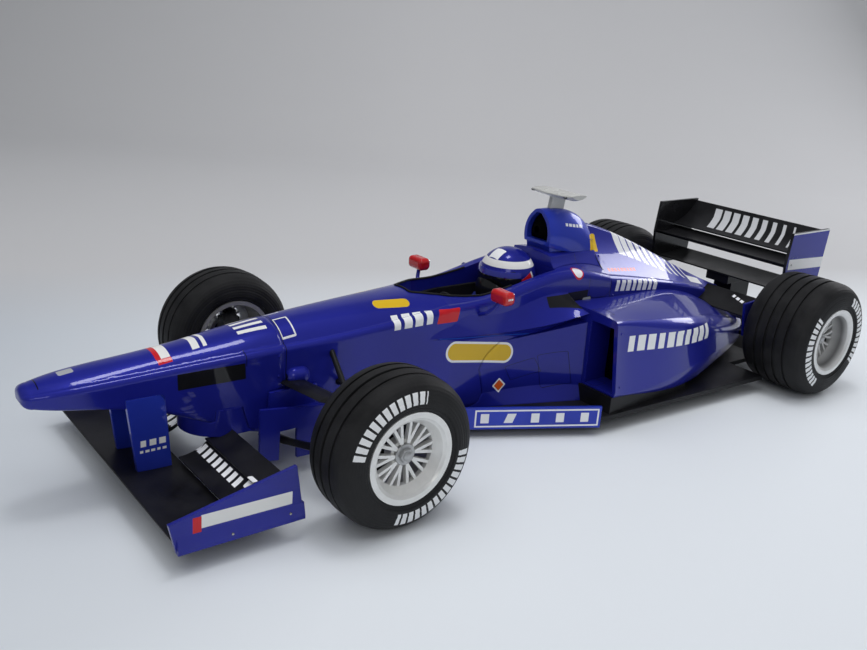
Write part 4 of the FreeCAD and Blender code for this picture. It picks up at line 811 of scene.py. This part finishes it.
# %% Rubber with block arcs
def tyre_rubber(name, axle, outer_face, arcs, block, inner, outer):
    """Rubber with arcs of blocks, each block degrees long, between an inner and an outer radius."""
    material, tree, shader = new_material(name)
    across, upward, radius, depth = round_axle(tree, axle)
    angle = calculate(tree, "MULTIPLY", calculate(tree, "ARCTAN2", upward, across), 180 / math.pi)
    half = (outer - inner) / 2
    off_middle = calculate(tree, "ABSOLUTE", calculate(tree, "SUBTRACT", radius, inner + half))
    print_area = remap(tree, off_middle, half - SOFT_EDGE, half + SOFT_EDGE, 1.0, 0.0)
    outside = calculate(tree, "GREATER_THAN", depth, outer_face - 1.2)
    print_area = calculate(tree, "MULTIPLY", print_area, outside)
    inked = 0.0
    for middle_angle, half_angle in arcs:
        turned = calculate(tree, "SUBTRACT", angle, middle_angle)
        turned = calculate(tree, "WRAP", turned, 180.0)
        turned.node.inputs[2].default_value = -180.0
        in_arc = calculate(tree, "LESS_THAN", calculate(tree, "ABSOLUTE", turned), half_angle)
        blocks = calculate(tree, "DIVIDE", calculate(tree, "ADD", turned, half_angle), block)
        beat = calculate(tree, "FRACT", blocks)
        in_arc = calculate(tree, "MULTIPLY", in_arc, calculate(tree, "LESS_THAN", beat, 0.7))
        inked = calculate(tree, "MAXIMUM", inked, in_arc)
    inked = calculate(tree, "MULTIPLY", inked, print_area)
    patch = noise(tree, 0.2, 3.0)
    black = blend_colour(tree, remap(tree, patch, 0.3, 0.7, 0.0, 1.0), (0.009, 0.009, 0.01, 1),
                         (0.02, 0.02, 0.021, 1))
    tree.links.new(blend_colour(tree, inked, black, (0.88, 0.89, 0.9, 1)), shader.inputs["Base Color"])
    connect(tree, remap(tree, patch, 0.3, 0.7, 0.5, 0.68), shader.inputs["Roughness"])
    shader.inputs["Specular IOR Level"].default_value = 0.25
    rings = calculate(tree, "SINE", calculate(tree, "MULTIPLY", radius, 9.0))
    height = calculate(tree, "ADD", calculate(tree, "MULTIPLY", rings, 0.3), noise(tree, 2.5, 3.0))
    rough_skin(tree, shader, height, 0.05)
    return material


print("rubber recipe ready")

# %% [markdown]
# With the outline and the rubber ready, one loop makes all four tyres. A tyre rides on its wheel and
# stands in for the CAD tyre. Left and right share their rubber, because the recipe measures how far
# a point is from the car's middle and not on which side it lies.

# %% Spin four tyres
for end, axle, width, radius, grooves, arcs in TYRES:
    face = axle.y + width / 2
    rubber = tyre_rubber(end + " tyre rubber", axle, face, arcs, 7.4, 12.5, 15.2)
    for side, sign in SIDES:
        outline = tyre_outline(sign * axle.y, width, radius, grooves)
        wheel = "wheel_%s_%s" % (end, side)
        piece = mesh_piece("grooved_tyre_%s_%s" % (end, side), spin(outline, axle, 160), rubber, wheel)
        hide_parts("tyre_%s_%s" % (end, side))
print("four tyres with", [row[4] for row in TYRES], "grooves")

# %% [markdown]
# ## Finding surfaces
# Small pieces sit on the bodywork, so their places are found by looking: a ray is sent at a CAD piece
# and gives back the point and the way the skin faces there. If the skin moves, the small piece moves
# with it.

# %% Rays onto CAD pieces
def skin_of(*names):
    shape = bmesh.new()
    for name in names:
        shape.from_mesh(nodes[name].data)
    tree = BVHTree.FromBMesh(shape)
    shape.free()
    return tree


def look(skin, start, way, reach=200.0):
    """The first point and normal of a skin seen from start, in millimetres, or None."""
    place, normal, _, _ = skin.ray_cast(Vector(start) * MM, Vector(way), reach * MM)
    return (place / MM, normal) if place else None


cockpit_skin = skin_of("tub", "headrest")
print("tub roof at x 45:", round(look(cockpit_skin, (45, 0, 90), (0, 0, -1))[0].z, 2))

# %% [markdown]
# The mouths of the airbox and the pods are real openings. Inside, a dull near-black lining is painted shade.
# A lining is a ring of rays from the middle of the duct to its walls, repeated a few times along it
# and closed at the back, so it follows any shape of duct.

# %% Duct linings
def duct_lining(name, walls, middle_yz, x_front, x_back, steps=64, rings=5, gap=0.1):
    skin = skin_of(*walls)
    shape = bmesh.new()
    loops = []
    for ring in range(rings):
        x = x_front + (x_back - x_front) * ring / (rings - 1)
        centre = Vector((x, *middle_yz))
        loop = []
        for step in range(steps):
            turn = math.tau * step / steps
            way = Vector((0, math.cos(turn), math.sin(turn)))
            found = look(skin, centre, way, 12.0)
            far = (found[0] - centre).length - gap if found else 1.0
            loop.append(shape.verts.new((centre + way * far) * MM))
        loops.append(loop)
    for one, two in zip(loops, loops[1:]):
        join_rings(shape, one, two)
    shape.faces.new(loops[-1])
    return mesh_piece(name, close_shape(shape, name, outward=False), duct_shade_black, "chassis")


# The near-black of the linings is painted shade deep inside the ducts.
duct_shade_black = moulding("duct shade black", (0.001, 0.001, 0.001, 1), (0.003, 0.003, 0.003, 1),
                      rough=(0.75, 0.9), depth=0.03, gloss=0.02)
duct_lining("airbox_lining", ("airbox",), (0.0, 49.9), -15.9, -23.8)
for side, sign in SIDES:
    walls = ("sidepod_" + side, "tub", "floor", "radiators")
    duct_lining("pod_duct_lining_" + side, walls, (28.0 * sign, 19.0), -25.2, -26.8)
print("linings: airbox and two pods")

# %% [markdown]
# ## Wheel centres
# Each wheel is held by one big nut. The hub's face is found by a ray along the axle. On it sits a
# stepped washer, a six-sided nut and a small dome, all spun on the same axle, so they roll with it.

# %% Centre nuts
def centre_nut(end, side, axle, sign):
    rim = skin_of("rim_%s_%s" % (end, side))
    hub = abs(look(rim, (axle.x, OUTSIDE * sign, axle.z), (0, -sign, 0))[0].y)
    shapes = (("washer", 40, [(-0.3, 0.2), (-0.3, 2.5), (0.25, 2.5), (0.4, 2.35), (0.4, 0.2)]),
              ("nut", 6, [(0.3, 0.2), (0.3, 1.75), (1.05, 1.75), (1.2, 1.55), (1.2, 0.2)]),
              ("cap", 32, [(1.1, 0.05), (1.1, 1.15), (1.35, 1.1), (1.55, 0.85), (1.68, 0.45), (1.7, 0.05)]))
    for title, steps, outline in shapes:
        placed = [(sign * (hub + out), radius) for out, radius in outline]
        mesh_piece("wheel_%s_%s_%s" % (title, end, side), spin(placed, axle, steps), nut_grey,
                   "wheel_%s_%s" % (end, side))
    return hub


OUTSIDE = 60.0           # a place beside the car, wider than its tyres
nut_grey = moulding("nut grey", (0.42, 0.425, 0.43, 1), (0.52, 0.525, 0.53, 1), rough=(0.32, 0.45),
                    metallic=0.6)
for end, axle in (("front", front_axle), ("rear", rear_axle)):
    for side, sign in SIDES:
        hub = centre_nut(end, side, axle, sign)
    print("%s hub face at y %.2f" % (end, hub))

# %% [markdown]
# ## Small plates
# Mirror glass, the rain light and the lenses of the camera pod are thin plates with round corners. One
# helper draws the outline with four arcs and gives it thickness, a bevelled edge included.

# %% Rounded plates
def plate(name, centre, across, up, half, corner, thickness, finish, body="chassis"):
    """A plate whose back lies at centre; it faces across x up."""
    across, up = Vector(across).normalized(), Vector(up).normalized()
    out = across.cross(up)
    shape = bmesh.new()
    levels = ((0.0, 0.0), (thickness * 0.7, 0.0), (thickness, 0.12 * corner))
    loops = []
    for height, inset in levels:
        loop = []
        for quarter, (sx, sy) in enumerate(((1, 1), (-1, 1), (-1, -1), (1, -1))):
            for step in range(6):
                turn = math.radians(90 * quarter + 90 * step / 5)
                reach = corner - inset
                x = sx * (half[0] - corner) + reach * math.cos(turn)
                y = sy * (half[1] - corner) + reach * math.sin(turn)
                loop.append(shape.verts.new((Vector(centre) + across * x + up * y + out * height) * MM))
        loops.append(loop)
    for one, two in zip(loops, loops[1:]):
        join_rings(shape, one, two)
    shape.faces.new(loops[0][::-1])
    shape.faces.new(loops[-1])
    return mesh_piece(name, close_shape(shape, name), finish, body)


GLASS_INSET = 3.35       # mirror housing's outer end to the middle of its glass
LENS_INSET, LENS_DROP = 1.4, 0.75        # camera wing's tip and top to the middle of a lens
FACING_BACK = ((0, -1, 0), (0, 0, 1))    # across and up for a plate seen from behind
FACING_AHEAD = ((0, 1, 0), (0, 0, 1))
mirror_silver = moulding("mirror silver", (0.75, 0.76, 0.78, 1), (0.82, 0.83, 0.85, 1),
                         rough=(0.03, 0.06), depth=0.001, metallic=1.0)
lamp_red = moulding("rain light red", (0.3, 0.004, 0.006, 1), (0.45, 0.01, 0.012, 1),
                    rough=(0.08, 0.14), coat=1.0)
lens_black = moulding("lens black", (0.003, 0.003, 0.004, 1), (0.006, 0.006, 0.008, 1),
                      rough=(0.04, 0.07), coat=1.0)
housing_low, housing_high = (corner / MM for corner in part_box("mirror_housings"))
housing_skin, glass_z = skin_of("mirror_housings"), (housing_low.z + housing_high.z) / 2
for side, sign in SIDES:
    glass_y = sign * (housing_high.y - GLASS_INSET)
    face = look(housing_skin, (0.0, glass_y, glass_z), (1, 0, 0))[0]
    plate("mirror_glass_" + side, (face.x + 0.12, glass_y, glass_z), *FACING_BACK, (2.5, 1.25), 0.6,
          0.25, mirror_silver)
tail = look(skin_of("gearbox"), (-160.0, 0.0, middle("gearbox").z / MM), (1, 0, 0))[0]
plate("rain_light", (tail.x + 0.1, 0.0, tail.z), *FACING_BACK, (1.9, 1.2), 0.35, 0.5, lamp_red)
for row in range(3):
    plate("rain_light_rib_%d" % row, (tail.x - 0.35, 0.0, tail.z + 0.6 * (row - 1)), *FACING_BACK,
          (1.6, 0.12), 0.1, 0.15, lamp_red)
pod_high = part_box("camera_pod")[1] / MM
pod_skin = skin_of("camera_pod")
for side, sign in SIDES:
    ahead_of_lens = (20.0, sign * (pod_high.y - LENS_INSET), pod_high.z - LENS_DROP)
    seen = look(pod_skin, ahead_of_lens, (-1, 0, 0))
    if seen:
        plate("camera_lens_" + side, seen[0] - Vector((0.1, 0, 0)), *FACING_AHEAD, (0.7, 0.35), 0.3,
              0.16, lens_black)
print("plates on mirrors, tail and camera pod")

# %% [markdown]
# ## Cockpit
# A soft edging runs round the front of the cockpit. Its line is found by walking out from the middle
# of the opening until a ray from above meets the rim. A curve with a round section then makes the
# edging, and it is turned into a mesh, which is what the finished model holds.

# %% Cockpit edging
def tube(name, points, radius, finish, body="chassis"):
    curve = bpy.data.curves.new(name, "CURVE")
    curve.dimensions, curve.bevel_depth, curve.bevel_resolution = "3D", radius * MM, 3
    curve.use_fill_caps = True
    spline = curve.splines.new("NURBS")
    spline.points.add(len(points) - 1)
    for knot, point in zip(spline.points, points):
        knot.co = (*(Vector(point) * MM), 1)
    spline.order_u, spline.use_endpoint_u = 3, True
    drawn = bpy.data.objects.new(name + "_line", curve)
    bpy.context.collection.objects.link(drawn)
    mesh = bpy.data.meshes.new_from_object(drawn.evaluated_get(bpy.context.evaluated_depsgraph_get()))
    bpy.data.objects.remove(drawn)
    mesh.materials.clear()
    return mesh_piece(name, mesh, finish, body)


def rim_point(turn, centre=Vector((9.0, 0.0, 0.0)), level=28.0):
    """Where the cockpit rim, which is higher than level, stands in one direction from the middle."""
    way = Vector((math.cos(turn), math.sin(turn), 0))
    far = 5.0
    while far < 30.0:
        found = look(cockpit_skin, centre + way * far + Vector((0, 0, 90)), (0, 0, -1))
        if found and found[0].z > level:
            return found[0]
        far += 0.1
    return None


rim_turns = [math.radians(3.0 * step) for step in range(-42, 43)]
rim_line = [point for point in map(rim_point, rim_turns) if point]
tube("cockpit_edging", [point + Vector((0, 0, 0.12)) for point in rim_line], 0.3, dull_black)
print("edging of %d points" % len(rim_line))

# %% [markdown]
# The belts are flat webbing. Each strap is a row of points dropped onto the driver's chest, widened
# to both sides, lifted a hair off the suit and closed underneath, so it is a thin solid ribbon.

# %% Seat belts
def strap(name, start, end, width, steps=14, lift=0.12, thick=0.22):
    """A ribbon over the chest between two places seen from above."""
    chest = skin_of("driver_torso")
    shape = bmesh.new()
    rows = []
    start, end = Vector(start), Vector(end)
    aside = Vector((-(end - start).y, (end - start).x, 0)).normalized() * width / 2
    for step in range(steps + 1):
        spot = start.lerp(end, step / steps)
        row = []
        for edge in (-1, 0, 1):
            found = look(chest, spot + aside * edge + Vector((0, 0, 80)), (0, 0, -1))
            if found:
                row.append(found)
        if len(row) == 3:
            tops = [shape.verts.new((place + normal * (lift + thick)) * MM) for place, normal in row]
            bottoms = [shape.verts.new((place + normal * lift) * MM) for place, normal in row]
            rows.append(tops + bottoms[::-1])
    for one, two in zip(rows, rows[1:]):
        join_rings(shape, one, two)
    shape.faces.new(rows[0])
    shape.faces.new(rows[-1][::-1])
    return mesh_piece(name, close_shape(shape, name), webbing, "chassis")


webbing = moulding("belt webbing", (0.2, 0.006, 0.008, 1), (0.28, 0.01, 0.012, 1), rough=(0.7, 0.85),
                   grain=7.0, depth=0.08)
for side, sign in SIDES:
    strap("shoulder_strap_" + side, (-4.0, 5.0 * sign, 0), (11.0, 1.6 * sign, 0), 1.9)
buckle = look(skin_of("driver_torso"), (11.4, 0.0, 80.0), (0, 0, -1))[0]
plate("belt_buckle", buckle, (1, 0, 0), (0, 1, 0), (1.3, 1.3), 1.25, 0.5, steel)
print("two straps and a buckle")

# %% [markdown]
# ## Small screws
# Little domed heads hold the plates and panels. Each is a short stack of rings on the spot that a ray
# finds, and all the heads of one panel are joined into one piece.

# %% Screw heads
def screws(name, node, way, spots, finish=steel, radius=0.32, steps=12):
    """spots are the two coordinates left over when way is taken out of x, y and z."""
    skin, way = skin_of(node), Vector(way)
    shape = bmesh.new()
    for first, second in spots:
        start = Vector((first, 0, second)) if way.y else Vector((first, second, 0))
        found = look(skin, start - way * 90, way)
        if not found:
            continue
        place, normal = found
        aside = normal.orthogonal().normalized()
        forward = normal.cross(aside)
        loops = []
        for height, share in ((-0.1, 1.0), (0.1, 1.0), (0.2, 0.8), (0.24, 0.4)):
            loop = []
            for step in range(steps):
                turn = math.tau * step / steps
                spoke = aside * math.cos(turn) + forward * math.sin(turn)
                loop.append(shape.verts.new((place + normal * height + spoke * radius * share) * MM))
            loops.append(loop)
        for one, two in zip(loops, loops[1:]):
            join_rings(shape, one, two)
        shape.faces.new(loops[0][::-1])
        shape.faces.new(loops[-1])
    return mesh_piece(name, close_shape(shape, name, outward=False), finish, "chassis")


for side, sign in SIDES:
    inward = (0, -sign, 0)
    screws("nose_screws_" + side, "nose_cone", inward, ((72.0, 24.0), (72.0, 29.0)), finish=plain_blue)
    screws("cover_screws_" + side, "engine_cover", inward,
           ((-36.6, 31.2), (-36.6, 41.5), (-62.0, 27.2)), finish=plain_blue)
    screws("tip_plate_screws_" + side, "front_endplate_" + side, inward, ((85.0, 6.6), (98.0, 6.0)))
    screws("tail_plate_screws_" + side, "rear_endplate_" + side, inward,
           ((-107.0, 36.5), (-107.0, 27.5), (-124.0, 27.5)))
    screws("pod_screws_" + side, "sidepod_" + side, inward, ((-19.0, 13.0), (-19.0, 28.0)), finish=plain_blue)
print("screws on ten panels")

# %% [markdown]
# ## The studio
# A pale table stands before a grey paper, the usual corner for showing small things. The sheet is one
# smooth sweep, so no hard fold can show, and its colour changes softly where the table ends. The
# table is painted a little darker towards its far left, where less light falls on it.

# %% Table and paper
def sweep():
    """One sheet: flat under the car, bent through a quarter turn, then upright. In metres."""
    shape = bmesh.new()
    outline = [(SHEET_REACH, 0.0), (BEND_FROM, 0.0)]
    for step in range(1, BEND_STEPS + 1):
        turn = math.radians(90) * step / BEND_STEPS
        outline.append((BEND_FROM - BEND * math.sin(turn), BEND - BEND * math.cos(turn)))
    outline.append((BEND_FROM - BEND, SHEET_HEIGHT))
    rows = []
    for out, up in outline:
        spot = TO_CAMERA * out + Vector((0, 0, up))
        rows.append([shape.verts.new(spot + ASIDE * wide) for wide in (-SHEET_REACH, SHEET_REACH)])
    for one, two in zip(rows, rows[1:]):
        shape.faces.new((one[0], one[1], two[1], two[0]))
    return close_shape(shape, "paper sweep", outward=False)


def along(tree, direction):
    """How far a point lies along a direction, in metres."""
    node = tree.nodes.new("ShaderNodeVectorMath")
    node.operation = "DOT_PRODUCT"
    tree.links.new(tree.nodes.new("ShaderNodeTexCoord").outputs["Object"], node.inputs[0])
    node.inputs[1].default_value = direction
    return node.outputs["Value"]


VIEW_TURN, VIEW_RISE, VIEW_ROLL = map(math.radians, (141.43, 18.61, 4.18))
TO_CAMERA = Vector((math.sin(VIEW_TURN), -math.cos(VIEW_TURN), 0))
ASIDE = Vector((math.cos(VIEW_TURN), math.sin(VIEW_TURN), 0))
SHEET_REACH, SHEET_HEIGHT = 6.0, 2.5
BEND_FROM, BEND, BEND_STEPS = -0.42, 0.2, 8
TABLE_END, TABLE_EDGE_WAY = -0.0935, (0.3909, 0.9204, 0.0)
TABLE_NEAR, TABLE_FAR = (0.82, 0.86, 0.90, 1), (0.38, 0.42, 0.47, 1)
PAPER_MIDDLE, PAPER_SHADED_EDGE = (0.62, 0.62, 0.63, 1), (0.48, 0.485, 0.495, 1)
paper, tree, shader = new_material("table and paper")
mottle = calculate(tree, "MULTIPLY", calculate(tree, "SUBTRACT", noise(tree, 0.012, 2.0), 0.5), 0.06)
dimmer = remap(tree, along(tree, -ASIDE), 0.03, 0.24, 0.0, 1.0)
table_colour = blend_colour(tree, calculate(tree, "ADD", dimmer, mottle, clamp=True), TABLE_NEAR,
                            TABLE_FAR)
# The paper is painted darker towards its sides: painted shade where less light reaches it.
from_middle = calculate(tree, "ABSOLUTE", calculate(tree, "ADD", along(tree, ASIDE), 0.02))
painted_side_shade = remap(tree, from_middle, 0.02, 0.5, 0.0, 1.0)
paper_colour = blend_colour(tree, calculate(tree, "ADD", painted_side_shade, mottle, clamp=True), PAPER_MIDDLE,
                            PAPER_SHADED_EDGE)
beyond_edge = remap(tree, along(tree, TABLE_EDGE_WAY), TABLE_END - 0.05, TABLE_END + 0.03, 1.0, 0.0)
tree.links.new(blend_colour(tree, beyond_edge, table_colour, paper_colour), shader.inputs["Base Color"])
shader.inputs["Roughness"].default_value = 0.65
shader.inputs["Specular IOR Level"].default_value = 0.25
floor_sheet = bpy.data.objects.new("paper_sweep", sweep())
floor_sheet.data.materials.append(paper)
for polygon in floor_sheet.data.polygons:
    polygon.use_smooth = True
bpy.context.collection.objects.link(floor_sheet)
print("table and paper ready")

# %% [markdown]
# The camera stands ahead of the left front wheel, a little above the cockpit, and leans slightly. Its
# three axes are worked out from the turn, rise and roll, and they become the columns of its matrix.

# %% Camera
def place_camera():
    back = TO_CAMERA * math.cos(VIEW_RISE) + Vector((0, 0, math.sin(VIEW_RISE)))
    right = (-back).cross(Vector((0, 0, 1))).normalized()
    up = right.cross(-back)
    rolled_right = right * math.cos(VIEW_ROLL) + up * math.sin(VIEW_ROLL)
    rolled_up = up * math.cos(VIEW_ROLL) - right * math.sin(VIEW_ROLL)
    lens = bpy.data.cameras.new("camera")
    lens.sensor_width, lens.lens = SENSOR, FOCAL_LENGTH
    lens.clip_start = 0.01
    camera = bpy.data.objects.new("camera", lens)
    turn = Matrix((rolled_right, rolled_up, back)).transposed().to_4x4()
    camera.matrix_world = Matrix.Translation(CAMERA_PLACE) @ turn
    bpy.context.collection.objects.link(camera)
    bpy.context.scene.camera = camera
    return camera


SENSOR, FOCAL_LENGTH = 36.0, 38.01
CAMERA_PLACE = Vector((168.0, 186.2, 106.1)) * MM
camera = place_camera()
print("camera at", [round(value, 3) for value in camera.location])

# %% [markdown]
# Gloss is only as good as what it mirrors. A wide roof lamp lights the table, but it is hidden from
# mirrors, or its pale face would wash out every upward panel. Three small lamps are the ones that show
# in the gloss: one overhead, one low beyond the tail, and one on the window side. The room itself is
# dim, so the black pieces stay black.

# %% Lamps
def soft_lamp(name, place, target, size, power, colour, mirrored=True):
    """A rectangle of light, in metres and watts, turned towards target."""
    light = bpy.data.lights.new(name, "AREA")
    light.shape, light.size, light.size_y = "RECTANGLE", size[0], size[1]
    light.energy, light.color = power, colour
    lamp = bpy.data.objects.new(name, light)
    place, target = Vector(place), Vector(target)
    lamp.rotation_euler = (target - place).to_track_quat("-Z", "Y").to_euler()
    lamp.location = place
    lamp.visible_camera = False
    lamp.visible_glossy = mirrored
    bpy.context.collection.objects.link(lamp)


soft_lamp("roof lamp", (0.03, 0.05, 0.75), (0.0, 0.0, 0.0), (1.1, 0.9), 3.9, (0.97, 0.98, 1.0),
          mirrored=False)
soft_lamp("edge lamp", (0.0, 0.0, 0.72), (0.0, 0.0, 0.0), (0.16, 0.12), 0.7, (0.98, 0.98, 1.0))
soft_lamp("tail lamp", (-0.62, -0.04, 0.24), (0.0, 0.0, 0.03), (0.26, 0.16), 0.75, (0.97, 0.97, 1.0))
soft_lamp("window lamp", (0.5, 0.62, 0.5), (0.0, 0.0, 0.03), (0.3, 0.24), 0.55, (1.0, 0.99, 0.97))
world = bpy.data.worlds.new("room")
world.use_nodes = True
sky = world.node_tree.nodes["Background"]
sky.inputs["Color"].default_value = (0.94, 0.96, 1.0, 1)
sky.inputs["Strength"].default_value = 0.25
bpy.context.scene.world = world
bpy.context.scene.view_settings.view_transform = "Standard"
print("four lamps and a dim room")
